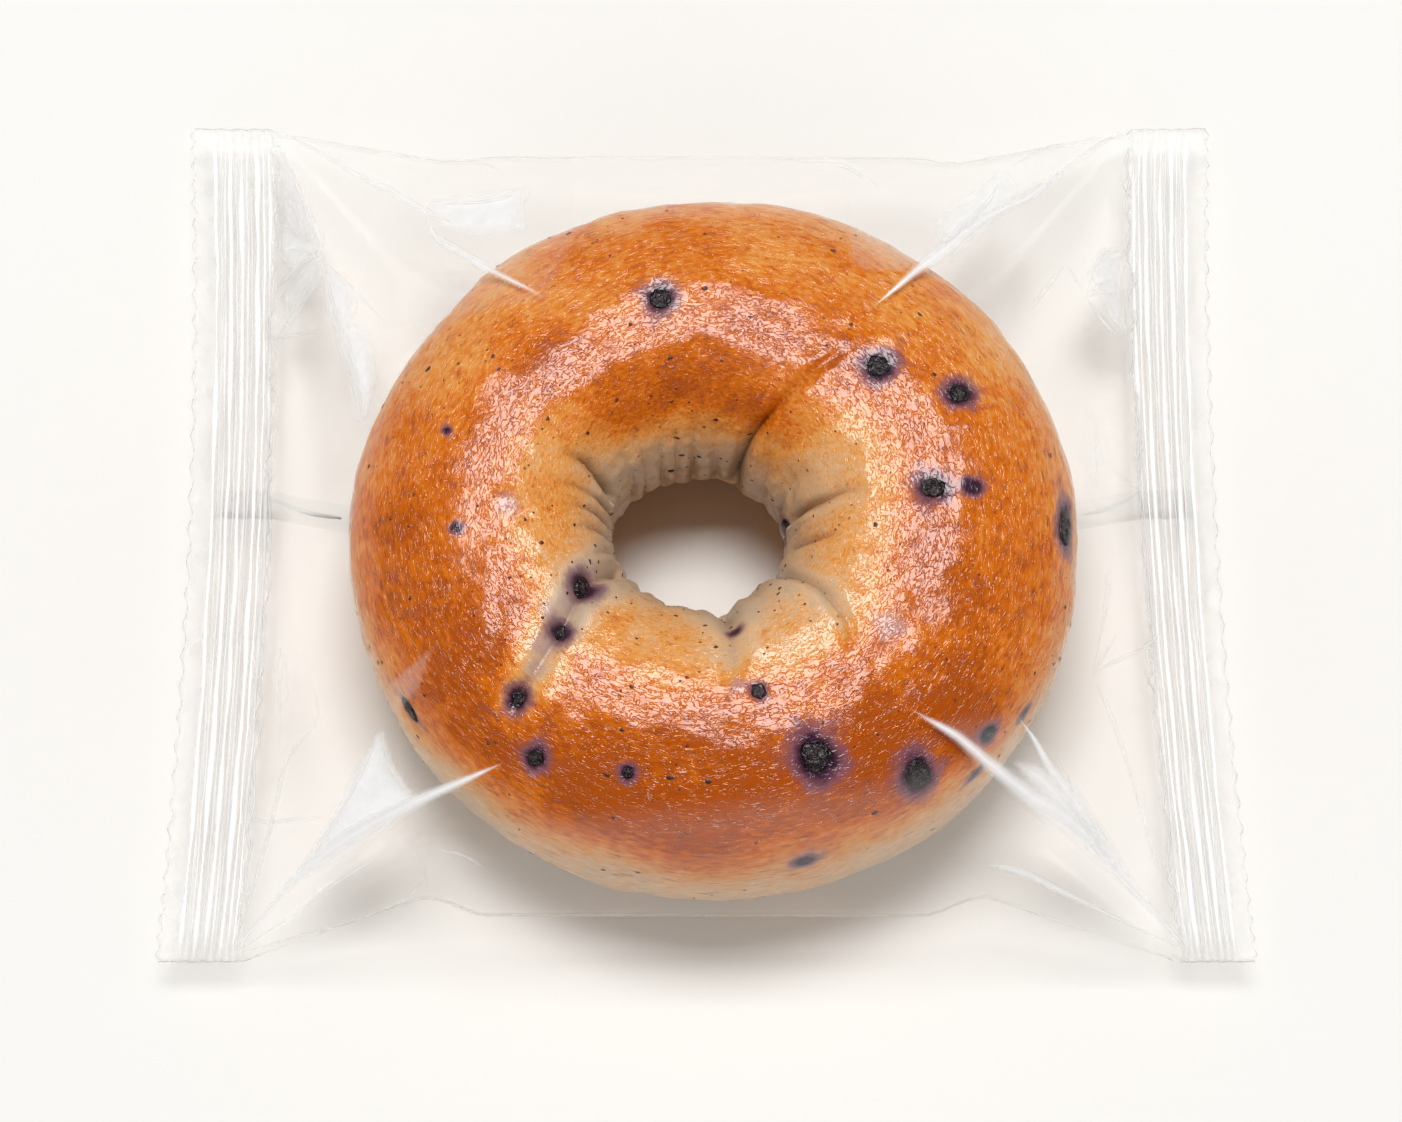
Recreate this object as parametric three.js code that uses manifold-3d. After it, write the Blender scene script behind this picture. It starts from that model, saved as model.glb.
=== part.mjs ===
// A bagel sealed in a clear flow-wrap bag, lying on its back. Millimetres, +Z up.
// The origin is on the table under the middle of the bag. +X runs to one crimped end
// seal and +Y to one long side. The bag is one closed solid out to its film, with the
// air it holds: the film is drawn tight over the bagel's ring, sinks over its hole and
// runs out flat to the two end seals. The bagel is a ring of its own in a pocket of the
// bag, which is open below it.

import * as THREE from 'three';
import { ConvexHull } from 'three/addons/math/ConvexHull.js';
import { mergeVertices } from 'three/addons/utils/BufferGeometryUtils.js';
import Module from 'manifold-3d';

// The bag: a tube of film, pressed flat and crimped at both ends.
const BAG_LENGTH = 155;
const SEAL_LENGTH = 131;
const SEAL_WIDTH = 11.9;
const SEAL_HEIGHT = 6;
const SEAL_THICK = 0.9;
const SEAL_BOW = 2.1;
const RIB_PITCH = 2.45;
const RIB_COUNT = 3.5;
const RIB_DEPTH = 0.35;
const SCALLOPS = 33;
const SCALLOP_DEPTH = 0.6;
const SCALLOP_STEPS = 4;

// The seals lean a little: how far each one's inner line and cut edge lie farther out at
// its near and at its far end.
const LEFT_LEAN = { inner: [0.4, 0], cut: [-0.1, 0.6] };
const RIGHT_LEAN = { inner: [2.4, -0.6], cut: [0.8, -0.4] };

// The two long sides: straight along the bagel, drawn in at a waist, out to the seals.
const SIDE_STRAIGHT = 30;
const WAIST_X = 39;
const FAR_SIDE = 57.3;
const FAR_WAIST = 56.0;
const NEAR_SIDE = 61.6;
const NEAR_WAIST = 59.5;
const SIDE_EDGE = 2.4;
const SIDE_RISE = 15;
const FLAT_HALF = 40;

// The bagel inside. It lies nearer to the front long side, and its hole is off centre.
const BAGEL_X = 1.7;
const BAGEL_Y = -7;
const BAGEL_RADIUS = 52.5;
const BAGEL_HEIGHT = 36.6;
const HOLE_X = -0.6;
const HOLE_RADIUS = 12.2;
const HOLE_DEPTH = 11.3;
const SECTION_POWER = 2.35;
const CRUST_INSET = 0.5;
const POCKET_INSET = 0.2;
const POCKET_OPEN = 1.0;
const CRUST_RINGS = 56;
const CRUST_SECTIONS = 20;
const DIMPLE_DEPTH = 5;
const DIMPLE_RADIUS = 22;

// The fin seal along the back of the bag shows as a ridge between the wings.
const FIN_Y = 4;
const FIN_WIDTH = 5;
const FIN_THICK = 0.5;

// Grid of the film.
const STRAIGHT_STEPS = 8;
const WAIST_STEPS = 3;
const WING_STEPS = 9;
const ROWS = 34;

const FILM = new THREE.MeshStandardMaterial({ color: 0xeceae6, roughness: 0.12, metalness: 0 });
const CRUST = new THREE.MeshStandardMaterial({ color: 0xc87434, roughness: 0.4, metalness: 0 });

const SEAL_HALF = SEAL_LENGTH / 2;
const CUT_X = BAG_LENGTH / 2;
const SEAL_X = CUT_X - SEAL_WIDTH;
const RIBS_END = SEAL_X + RIB_COUNT * RIB_PITCH;
const HALF_THICK = SEAL_THICK / 2;
const SECTION_STEPS = 16;
const RING_STEPS = 90;

// Tension folds: each runs from a seal's corner, or from another fold, over the wing.
const FOLDS = [
  { from: [-65, 65], to: [-30, 31], height: 1.1, width: 3.2 },
  { from: [-65, 64], to: [-55, 37], height: 1.5, width: 3.4 },
  { from: [-55, 37], to: [-49, 13], height: 1.1, width: 3.6 },
  { from: [-65, -64], to: [-52, -52], height: 1.6, width: 3.2 },
  { from: [-54, -54], to: [-45, -38], height: 1.4, width: 3.4 },
  { from: [-54, -54], to: [-29, -44], height: 1.3, width: 3.4 },
  { from: [-65, -62], to: [-54, -30], height: 1.2, width: 3.2 },
  { from: [65, 65], to: [27, 27], height: 1.8, width: 4.0 },
  { from: [65, 64], to: [53, 34], height: 0.9, width: 3.0 },
  { from: [68, -64], to: [34, -40], height: 2.0, width: 4.2 },
  { from: [57, -54], to: [45, -36], height: 1.4, width: 3.4 },
  { from: [68, -63], to: [55, -29], height: 1.3, width: 3.2 },
];

const clamp = THREE.MathUtils.clamp;
const lerp = THREE.MathUtils.lerp;
const smooth = (t) => THREE.MathUtils.smoothstep(t, 0, 1);

// How far a seal's line is pulled in towards the bagel at a place along it.
function bow(y) {
  return SEAL_BOW * (1 - (y / SEAL_HALF) ** 2);
}

// Where a station along the bag lies, with the seals' bow and lean drawn into it.
function stationX(station, y) {
  const away = Math.abs(station);
  const lean = station < 0 ? LEFT_LEAN : RIGHT_LEAN;
  const across = clamp((y / SEAL_HALF + 1) / 2, 0, 1);
  const inner = lerp(lean.inner[0], lean.inner[1], across);
  const cut = lerp(lean.cut[0], lean.cut[1], across);
  const shift = lerp(inner, cut, clamp((away - SEAL_X) / SEAL_WIDTH, 0, 1)) - bow(y);
  return Math.sign(station) * (away + shift * Math.min(1, (away / SEAL_X) ** 2));
}

// Outline of one long side, as a distance from the middle line.
function sideOutline(x, side, waist) {
  const away = Math.abs(x);
  if (away <= WAIST_X) {
    return lerp(side, waist, smooth((away - SIDE_STRAIGHT) / (WAIST_X - SIDE_STRAIGHT)));
  }
  return lerp(waist, SEAL_HALF, clamp((away - WAIST_X) / (SEAL_X - WAIST_X), 0, 1));
}

// A point of the bagel's skin, or of one set in from it: ring angle, and section angle
// from outwards to up.
function bagelPoint(ring, section, inset = 0) {
  const c = Math.cos(section);
  const s = Math.sin(section);
  const scale = (Math.abs(c) ** SECTION_POWER + Math.abs(s) ** SECTION_POWER) ** (-1 / SECTION_POWER);
  const share = 0.5 + 0.5 * scale * c;
  const radius = BAGEL_RADIUS - inset;
  const x = lerp(HOLE_X + (HOLE_RADIUS + inset) * Math.cos(ring), BAGEL_X + radius * Math.cos(ring), share);
  const y = BAGEL_Y + lerp(HOLE_DEPTH + inset, radius, share) * Math.sin(ring);
  return new THREE.Vector3(x, y, BAGEL_HEIGHT / 2 + (BAGEL_HEIGHT / 2 - inset) * scale * s);
}

// The taut film over the bagel and the seals' inner lines, as its sloping planes.
function filmPlanes() {
  const points = [];
  for (let i = 0; i < RING_STEPS; i += 1) {
    for (let j = 0; j <= SECTION_STEPS; j += 1) {
      points.push(bagelPoint((i / RING_STEPS) * 2 * Math.PI, (j / SECTION_STEPS) * 0.6 * Math.PI));
    }
  }
  for (let k = 0; k <= ROWS; k += 1) {
    const y = lerp(-SEAL_HALF, SEAL_HALF, k / ROWS);
    for (const end of [-1, 1]) points.push(new THREE.Vector3(stationX(end * SEAL_X, y), y, SEAL_HEIGHT));
  }
  const hull = new ConvexHull().setFromPoints(points);
  return hull.faces.filter((face) => face.normal.z > 0.02)
    .map((face) => ({ normal: face.normal.clone(), offset: face.normal.dot(face.midpoint) }));
}

// Height of the taut film: the lowest of its planes over a place.
function tautHeight(planes, x, y) {
  let height = Infinity;
  for (const { normal, offset } of planes) {
    height = Math.min(height, (offset - normal.x * x - normal.y * y) / normal.z);
  }
  return height;
}

// Height that the tension folds add: a rounded ridge that swells along its length.
function foldHeight(x, y) {
  let height = 0;
  for (const { from, to, height: top, width } of FOLDS) {
    const dx = to[0] - from[0];
    const dy = to[1] - from[1];
    const along = clamp(((x - from[0]) * dx + (y - from[1]) * dy) / (dx * dx + dy * dy), 0, 1);
    const away = Math.hypot(x - from[0] - along * dx, y - from[1] - along * dy) / width;
    const swell = Math.sin(Math.PI * clamp(along, 0, 1)) ** 0.6;
    height = Math.max(height, top * swell * (1 - smooth(away)));
  }
  return height;
}

// Depth that the film sinks over the bagel's hole.
function dimple(x, y) {
  const away = Math.hypot(x - HOLE_X, y - BAGEL_Y) / DIMPLE_RADIUS;
  return DIMPLE_DEPTH * (1 - smooth(away));
}

// Crimp of a seal: the sheet waves across the seal and is flat at its margin.
function crimp(away) {
  if (away <= SEAL_X || away >= RIBS_END) return 0;
  return RIB_DEPTH * Math.cos(((away - SEAL_X) / RIB_PITCH) * 2 * Math.PI);
}

// Distances from the middle of the bag at which the grid has its columns.
function columnStations() {
  const half = [];
  for (let i = 1; i <= STRAIGHT_STEPS; i += 1) half.push((i / STRAIGHT_STEPS) * SIDE_STRAIGHT);
  for (let i = 1; i <= WAIST_STEPS; i += 1) half.push(lerp(SIDE_STRAIGHT, WAIST_X, i / WAIST_STEPS));
  for (let i = 1; i <= WING_STEPS; i += 1) half.push(lerp(WAIST_X, SEAL_X, i / WING_STEPS));
  for (let i = 1; i <= 2 * RIB_COUNT; i += 1) half.push(SEAL_X + (i / 2) * RIB_PITCH);
  return [...half.map((x) => -x).reverse(), 0, ...half];
}

// One point of the film's upper or lower sheet.
function filmPoint(planes, station, row, upper) {
  const far = sideOutline(station, FAR_SIDE, FAR_WAIST);
  const near = -sideOutline(station, NEAR_SIDE, NEAR_WAIST);
  const t = (row / ROWS) * 2 - 1;
  const v = 0.55 * t + 0.45 * Math.sin((Math.PI / 2) * t);
  const y = lerp(near, far, (v + 1) / 2);
  const away = Math.abs(station);
  const x = stationX(station, y);
  if (away >= SEAL_X) {
    const face = upper ? HALF_THICK : -HALF_THICK;
    return [x, y, SEAL_HEIGHT + face + crimp(away) * smooth((away - SEAL_X) / RIB_PITCH)];
  }
  if (upper) {
    const raised = tautHeight(planes, x, y) + HALF_THICK;
    return [x, y, raised + foldHeight(x, y) * smooth((SEAL_X - away) / 4) - dimple(x, y)];
  }
  const edge = tautHeight(planes, x, v < 0 ? near : far) + HALF_THICK - SIDE_EDGE;
  const toSide = clamp(1 - Math.min(y - near, far - y) / SIDE_RISE, 0, 1);
  const toSeal = clamp((away - FLAT_HALF) / (SEAL_X - FLAT_HALF), 0, 1);
  const bottom = SEAL_HEIGHT - HALF_THICK;
  const edgeSide = lerp(edge, bottom, smooth(toSeal));
  return [x, y, Math.max(edgeSide * toSide ** 1.4, bottom * toSeal ** 1.3)];
}

// The whole film up to the seals' margins, as one closed mesh.
function filmGeometry(planes) {
  const stations = columnStations();
  const columns = stations.length - 1;
  const positions = [];
  for (const upper of [true, false]) {
    for (const station of stations) {
      for (let row = 0; row <= ROWS; row += 1) {
        positions.push(...filmPoint(planes, station, row, upper));
      }
    }
  }
  const sheet = stations.length * (ROWS + 1);
  const at = (column, row) => column * (ROWS + 1) + row;
  const index = [];
  const quad = (a, b, c, d) => index.push(a, b, c, a, c, d);
  for (let i = 0; i < columns; i += 1) {
    for (let j = 0; j < ROWS; j += 1) {
      quad(at(i, j), at(i + 1, j), at(i + 1, j + 1), at(i, j + 1));
      quad(sheet + at(i, j), sheet + at(i, j + 1), sheet + at(i + 1, j + 1), sheet + at(i + 1, j));
    }
    quad(sheet + at(i, 0), sheet + at(i + 1, 0), at(i + 1, 0), at(i, 0));
    quad(at(i, ROWS), at(i + 1, ROWS), sheet + at(i + 1, ROWS), sheet + at(i, ROWS));
  }
  for (let j = 0; j < ROWS; j += 1) {
    quad(sheet + at(0, j + 1), sheet + at(0, j), at(0, j), at(0, j + 1));
    quad(at(columns, j + 1), at(columns, j), sheet + at(columns, j), sheet + at(columns, j + 1));
  }
  const geometry = new THREE.BufferGeometry();
  geometry.setAttribute('position', new THREE.Float32BufferAttribute(positions, 3));
  geometry.setIndex(index);
  return geometry;
}

// The flat margin outside a seal's ribs, with its scalloped cut edge.
function marginGeometry(end) {
  const inner = RIBS_END - 0.5;
  const outline = [];
  const steps = SCALLOPS * SCALLOP_STEPS;
  for (let k = 0; k <= steps; k += 1) {
    const y = lerp(-SEAL_HALF, SEAL_HALF, k / steps);
    const notch = Math.abs(Math.cos((Math.PI * k) / SCALLOP_STEPS)) ** 1.5;
    outline.push(new THREE.Vector2(stationX(end * (CUT_X - SCALLOP_DEPTH * notch), y), y));
  }
  for (let k = ROWS; k >= 0; k -= 1) {
    const y = lerp(-SEAL_HALF, SEAL_HALF, k / ROWS);
    outline.push(new THREE.Vector2(stationX(end * inner, y), y));
  }
  const plate = new THREE.ExtrudeGeometry(new THREE.Shape(outline), { depth: SEAL_THICK, bevelEnabled: false });
  plate.translate(0, 0, SEAL_HEIGHT - HALF_THICK);
  return plate;
}

// The fin of the back seal, folded over under one wing.
function finGeometry(end) {
  const shape = new THREE.Shape([
    new THREE.Vector2(end * (FLAT_HALF + 8), FIN_Y - FIN_WIDTH / 2),
    new THREE.Vector2(end * (RIBS_END - SEAL_BOW), FIN_Y - FIN_WIDTH / 2),
    new THREE.Vector2(end * (RIBS_END - SEAL_BOW), FIN_Y + FIN_WIDTH / 2),
    new THREE.Vector2(end * (FLAT_HALF + 8), FIN_Y + FIN_WIDTH / 2),
  ]);
  const fin = new THREE.ExtrudeGeometry(shape, { depth: FIN_THICK + HALF_THICK, bevelEnabled: false });
  fin.translate(0, 0, SEAL_HEIGHT - HALF_THICK - FIN_THICK);
  return fin;
}

// The bagel's ring, set in from its skin. With a depth given, its underside is drawn
// down to there.
function ringGeometry(inset, depth) {
  const positions = [];
  const index = [];
  for (let i = 0; i < CRUST_RINGS; i += 1) {
    for (let j = 0; j < CRUST_SECTIONS; j += 1) {
      const section = ((j + 0.5) / CRUST_SECTIONS) * 2 * Math.PI;
      const point = bagelPoint((i / CRUST_RINGS) * 2 * Math.PI, section, inset);
      if (depth !== undefined && point.z < inset + POCKET_OPEN) point.z = depth;
      positions.push(point.x, point.y, point.z);
      const next = ((i + 1) % CRUST_RINGS) * CRUST_SECTIONS;
      const here = i * CRUST_SECTIONS;
      const up = (j + 1) % CRUST_SECTIONS;
      index.push(here + j, next + j, next + up, here + j, next + up, here + up);
    }
  }
  const geometry = new THREE.BufferGeometry();
  geometry.setAttribute('position', new THREE.Float32BufferAttribute(positions, 3));
  geometry.setIndex(index);
  return geometry;
}

const wasm = await Module();
wasm.setup();

function toSolid(geometry) {
  const bare = geometry.clone();
  bare.deleteAttribute('normal');
  bare.deleteAttribute('uv');
  const merged = mergeVertices(bare, 1e-4);
  return new wasm.Manifold(new wasm.Mesh({
    numProp: 3,
    vertProperties: merged.getAttribute('position').array,
    triVerts: new Uint32Array(merged.index.array),
  }));
}

function toGeometry(solid) {
  const mesh = solid.getMesh();
  const geometry = new THREE.BufferGeometry();
  geometry.setAttribute('position', new THREE.BufferAttribute(mesh.vertProperties, 3));
  geometry.setIndex(new THREE.BufferAttribute(mesh.triVerts, 1));
  geometry.computeVertexNormals();
  return geometry;
}

function bagGeometry() {
  let solid = toSolid(filmGeometry(filmPlanes()));
  for (const end of [-1, 1]) {
    solid = solid.add(toSolid(marginGeometry(end)));
    solid = solid.add(toSolid(finGeometry(end)));
  }
  solid = solid.subtract(toSolid(ringGeometry(POCKET_INSET, -2)));
  return toGeometry(solid);
}

const bag = new THREE.Mesh(bagGeometry(), FILM);
bag.name = 'bag';

const bagel = new THREE.Mesh(toGeometry(toSolid(ringGeometry(CRUST_INSET))), CRUST);
bagel.name = 'bagel';

const pack = new THREE.Group();
pack.add(bag, bagel);

export default pack;
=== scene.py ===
"""Looks of a blueberry bagel sealed in a clear film bag.

Shapes are worked out in millimetres and leave for Blender in metres. The bagel's form is a
ring whose section is a superellipse; a place on it is a ring angle (0 towards +X, turning
towards +Y) and a section angle (0 outwards, 90 up, 180 towards the hole). The film's form
is the taut skin over that ring and the two end seals, with its folds added.
"""

import logging
import math
from dataclasses import dataclass, field
from enum import Enum
from functools import cached_property

import bmesh
import bpy
import numpy as np
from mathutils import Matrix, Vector
from mathutils.bvhtree import BVHTree
from mathutils.geometry import delaunay_2d_cdt

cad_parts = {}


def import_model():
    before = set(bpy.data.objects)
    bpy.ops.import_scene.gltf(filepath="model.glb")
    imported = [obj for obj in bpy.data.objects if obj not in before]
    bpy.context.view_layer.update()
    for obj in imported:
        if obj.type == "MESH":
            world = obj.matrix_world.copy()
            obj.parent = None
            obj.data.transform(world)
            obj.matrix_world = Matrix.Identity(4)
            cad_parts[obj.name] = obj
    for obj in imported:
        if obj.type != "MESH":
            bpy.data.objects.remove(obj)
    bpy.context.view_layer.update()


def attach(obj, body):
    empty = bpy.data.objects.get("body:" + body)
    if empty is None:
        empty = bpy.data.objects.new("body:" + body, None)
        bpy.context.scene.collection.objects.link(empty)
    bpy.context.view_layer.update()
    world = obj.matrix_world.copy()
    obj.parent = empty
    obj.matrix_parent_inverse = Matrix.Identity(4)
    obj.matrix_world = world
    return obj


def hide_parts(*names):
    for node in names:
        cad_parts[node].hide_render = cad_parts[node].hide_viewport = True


LOG = logging.getLogger("bagel")
METRE = 0.001
BODY = "root"
RAY_HEIGHT = 60.0
DOWN = Vector((0.0, 0.0, -1.0))
UP = Vector((0.0, 0.0, 1.0))
Array = np.ndarray
Colour = tuple[float, float, float]
Places = tuple[tuple[float, float], ...]


# ------------------------------------------------------------------ small maths


def smooth(share: Array | float) -> Array | float:
    """Ease a share from 0 to 1 with flat ends."""
    held = np.clip(share, 0.0, 1.0)
    return held * held * (3.0 - 2.0 * held)


def lerp(low: Array | float, high: Array | float, share: Array | float) -> Array | float:
    """Go from one value to another by a share."""
    return low + (high - low) * share


def bell(away: Array, width: float | Array) -> Array:
    """Give a bell curve that is 1 at no distance."""
    return np.exp(-((away / width) ** 2))


def curved(path: tuple, pitch: float = 0.7) -> Array:
    """Run a smooth curve through places.

    Args:
        path: Places as tuples of numbers.
        pitch: Distance between the curve's own places.

    Returns:
        The curve's places as rows.
    """
    spots = np.array(path, dtype=float)
    spots = np.vstack([2.0 * spots[0] - spots[1], spots, 2.0 * spots[-1] - spots[-2]])
    rows = []
    for a, b, c, d in zip(spots, spots[1:], spots[2:], spots[3:]):
        steps = max(2, int(np.linalg.norm(c - b) / pitch))
        t = np.arange(steps)[:, None] / steps
        square = 2 * a - 5 * b + 4 * c - d
        cube = 3 * b - a - 3 * c + d
        rows.append(0.5 * (2.0 * b + (c - a) * t + square * t ** 2 + cube * t ** 3))
    return np.vstack([*rows, spots[-2]])


def quad(number: Array, i: int, j: int) -> tuple[int, ...]:
    """Give the corners of one face of a grid of vertex numbers."""
    corners = (number[i, j], number[i + 1, j], number[i + 1, j + 1], number[i, j + 1])
    return tuple(int(corner) for corner in corners)


@dataclass(frozen=True)
class Ripple:
    """Smooth seeded unevenness of one size, as a sum of waves in random directions."""

    size: float
    seed: int
    waves: int = 24

    def at(self, points: Array) -> Array:
        """Give the unevenness at points.

        Args:
            points: Places as rows, in millimetres.

        Returns:
            One number a point, mostly between -2 and 2.
        """
        draw = np.random.default_rng(self.seed)
        direction = draw.normal(size=(self.waves, points.shape[-1]))
        direction /= np.linalg.norm(direction, axis=1, keepdims=True)
        pitch = self.size * draw.uniform(0.7, 1.5, self.waves)
        phase = draw.uniform(0.0, 2.0 * math.pi, self.waves)
        turns = points @ (direction * (2.0 * math.pi / pitch)[:, None]).T + phase
        return np.sin(turns).sum(-1) / math.sqrt(self.waves / 2.0)


def make_piece(
    name: str,
    points: Array,
    faces: list,
    material: bpy.types.Material,
    layers: dict[str, Array] | None = None,
) -> bpy.types.Object:
    """Make a smooth mesh object that rides on the bag's body.

    Args:
        name: The piece's name.
        points: Vertices as rows, in millimetres.
        faces: Vertex numbers of each face.
        material: What the piece is made of.
        layers: Numbers kept on the vertices, by name.

    Returns:
        The new object.
    """
    mesh = bpy.data.meshes.new(name)
    mesh.from_pydata((points * METRE).tolist(), [], faces)
    for layer, numbers in (layers or {}).items():
        kept = mesh.attributes.new(layer, "FLOAT", "POINT")
        kept.data.foreach_set("value", np.ascontiguousarray(numbers, dtype=np.float32).ravel())
    mesh.shade_smooth()
    mesh.materials.append(material)
    made = bpy.data.objects.new(name, mesh)
    bpy.context.collection.objects.link(made)
    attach(made, BODY)
    LOG.info("%s: %d vertices, %d faces", name, len(mesh.vertices), len(mesh.polygons))
    return made


# ------------------------------------------------------------------ shader writing


class Value:
    """A number in a node tree that takes Python arithmetic."""

    def __init__(self, shade: "Shade", socket: bpy.types.NodeSocket) -> None:
        """Keep the socket and the tree that it is in."""
        self.shade = shade
        self.socket = socket

    def _maths(self, operation: str, *terms: "Value | float") -> "Value":
        """Add one Math node and give its result.

        Args:
            operation: What the node does.
            terms: What it does it to, in order.

        Returns:
            The node's result.
        """
        inputs = dict(enumerate(terms))
        node = self.shade.node("ShaderNodeMath", {"operation": operation}, inputs)
        return Value(self.shade, node.outputs[0])

    def __add__(self, other: "Value | float") -> "Value":
        """Add."""
        return self._maths("ADD", self, other)

    def __radd__(self, other: float) -> "Value":
        """Add, with the number first."""
        return self._maths("ADD", other, self)

    def __sub__(self, other: "Value | float") -> "Value":
        """Take away."""
        return self._maths("SUBTRACT", self, other)

    def __rsub__(self, other: float) -> "Value":
        """Take away from a number."""
        return self._maths("SUBTRACT", other, self)

    def __mul__(self, other: "Value | float") -> "Value":
        """Multiply."""
        return self._maths("MULTIPLY", self, other)

    def __rmul__(self, other: float) -> "Value":
        """Multiply, with the number first."""
        return self._maths("MULTIPLY", other, self)

    def __pow__(self, other: float) -> "Value":
        """Raise to a power."""
        return self._maths("POWER", self, other)

    def held(self) -> "Value":
        """Keep within 0 and 1."""
        return self._maths("MINIMUM", self._maths("MAXIMUM", self, 0.0), 1.0)

    def least(self, other: "Value | float") -> "Value":
        """Take the lower of two."""
        return self._maths("MINIMUM", self, other)

    def most(self, other: "Value | float") -> "Value":
        """Take the higher of two."""
        return self._maths("MAXIMUM", self, other)

    def size(self) -> "Value":
        """Drop the sign."""
        return self._maths("ABSOLUTE", self)

    def step(self, low: float, high: float) -> "Value":
        """Ease from 0 at one value to 1 at another.

        Args:
            low: Where the result is 0.
            high: Where it is 1, and it may be the lower one.

        Returns:
            The eased share.
        """
        inputs = {"Value": self, "From Min": low, "From Max": high}
        node = self.shade.node("ShaderNodeMapRange", {"interpolation_type": "SMOOTHSTEP"}, inputs)
        return Value(self.shade, node.outputs[0])


class Shade:
    """A material in the making: its nodes are added through one method."""

    def __init__(self, name: str) -> None:
        """Start an empty material.

        Args:
            name: The material's name.
        """
        self.material = bpy.data.materials.new(name)
        self.material.use_nodes = True
        self.tree = self.material.node_tree
        self.tree.nodes.clear()

    def node(self, kind: str, settings: dict | None = None, inputs: dict | None = None) -> bpy.types.Node:
        """Add a node.

        Args:
            kind: The node's type.
            settings: Its own settings, set first; stops gives a ramp's places and colours.
            inputs: Numbers, colours or links for its sockets, by name or by number.

        Returns:
            The node.
        """
        node = self.tree.nodes.new(kind)
        for key, setting in (settings or {}).items():
            if key == "stops":
                self._set_stops(node.color_ramp, setting)
            else:
                setattr(node, key, setting)
        for key, value in (inputs or {}).items():
            socket = node.inputs[key]
            if isinstance(value, Value):
                self.tree.links.new(value.socket, socket)
            elif isinstance(value, bpy.types.NodeSocket):
                self.tree.links.new(value, socket)
            else:
                socket.default_value = value
        return node

    @staticmethod
    def _set_stops(ramp: bpy.types.ColorRamp, stops: tuple[tuple[float, Colour], ...]) -> None:
        """Give a ramp its places and colours.

        Args:
            ramp: The ramp to set.
            stops: Places from 0 to 1 and the colours there.
        """
        while len(ramp.elements) < len(stops):
            ramp.elements.new(1.0)
        for element, (place, colour) in zip(ramp.elements, stops):
            element.position = place
            element.color = (*colour, 1.0)

    def layer(self, name: str) -> Value:
        """Read a number kept on the mesh."""
        node = self.node("ShaderNodeAttribute", {"attribute_name": name})
        return Value(self, node.outputs["Fac"])

    def places(self) -> bpy.types.NodeSocket:
        """Give the piece's own coordinates, in metres."""
        return self.node("ShaderNodeTexCoord").outputs["Object"]

    def stretched(self, places: bpy.types.NodeSocket, scale: Colour) -> bpy.types.NodeSocket:
        """Scale coordinates along each axis."""
        settings = {"operation": "MULTIPLY"}
        return self.node("ShaderNodeVectorMath", settings, {0: places, 1: scale}).outputs[0]

    def noise(
        self, places: bpy.types.NodeSocket, size: float, detail: float = 2.0, bend: float = 0.0
    ) -> Value:
        """Add a cloudy pattern.

        Args:
            places: The coordinates it is drawn in.
            size: Size of its clouds in millimetres.
            detail: How many finer layers it has.
            bend: How much it is swirled.

        Returns:
            A number about 0.5.
        """
        inputs = {"Vector": places, "Scale": 1.0 / (size * METRE), "Detail": detail, "Distortion": bend}
        node = self.node("ShaderNodeTexNoise", {"noise_dimensions": "3D"}, inputs)
        return Value(self, node.outputs[0])

    def cells(self, places: bpy.types.NodeSocket, size: float) -> bpy.types.Node:
        """Add a cell pattern of a size in millimetres."""
        inputs = {"Vector": places, "Scale": 1.0 / (size * METRE)}
        return self.node("ShaderNodeTexVoronoi", {"feature": "F1"}, inputs)

    def lot(self, cells: bpy.types.Node, channel: int) -> Value:
        """Give each cell's own random number, of three."""
        split = self.node("ShaderNodeSeparateColor", None, {0: cells.outputs["Color"]})
        return Value(self, split.outputs[channel])

    def spot(self, cells: bpy.types.Node, core: float, rim: float) -> Value:
        """Give 1 at the middle of each cell, fading between two distances from it."""
        return 1.0 - Value(self, cells.outputs["Distance"]).step(core, rim)

    def blend(self, first: object, second: object, share: Value | float) -> bpy.types.NodeSocket:
        """Mix two colours by a share.

        Args:
            first: The colour at a share of 0, or a socket that gives it.
            second: The colour at a share of 1, or a socket that gives it.
            share: How far the mix goes to the second.

        Returns:
            The mixed colour.
        """
        first, second = [(*c, 1.0) if isinstance(c, tuple) else c for c in (first, second)]
        node = self.node("ShaderNodeMix", {"data_type": "RGBA"}, {0: share, 6: first, 7: second})
        return node.outputs[2]

    def ramp(self, value: Value, stops: tuple[tuple[float, Colour], ...]) -> bpy.types.NodeSocket:
        """Turn a number into a colour."""
        return self.node("ShaderNodeValToRGB", {"stops": stops}, {0: value}).outputs[0]

    def bump(self, height: Value, depth: float) -> bpy.types.NodeSocket:
        """Turn a height from 0 to 1 into relief of a depth in millimetres."""
        return self.node("ShaderNodeBump", None, {"Height": height, "Distance": depth * METRE}).outputs[0]

    def either(self, share: Value, first: bpy.types.Node, second: bpy.types.Node) -> bpy.types.Node:
        """Mix two surfaces by a share."""
        inputs = {0: share, 1: first.outputs[0], 2: second.outputs[0]}
        return self.node("ShaderNodeMixShader", None, inputs)

    def finish(self, surface: bpy.types.Node) -> bpy.types.Material:
        """Lead a surface to the output and give the material."""
        self.node("ShaderNodeOutputMaterial", None, {"Surface": surface.outputs[0]})
        return self.material


# ------------------------------------------------------------------ finishes


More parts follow.
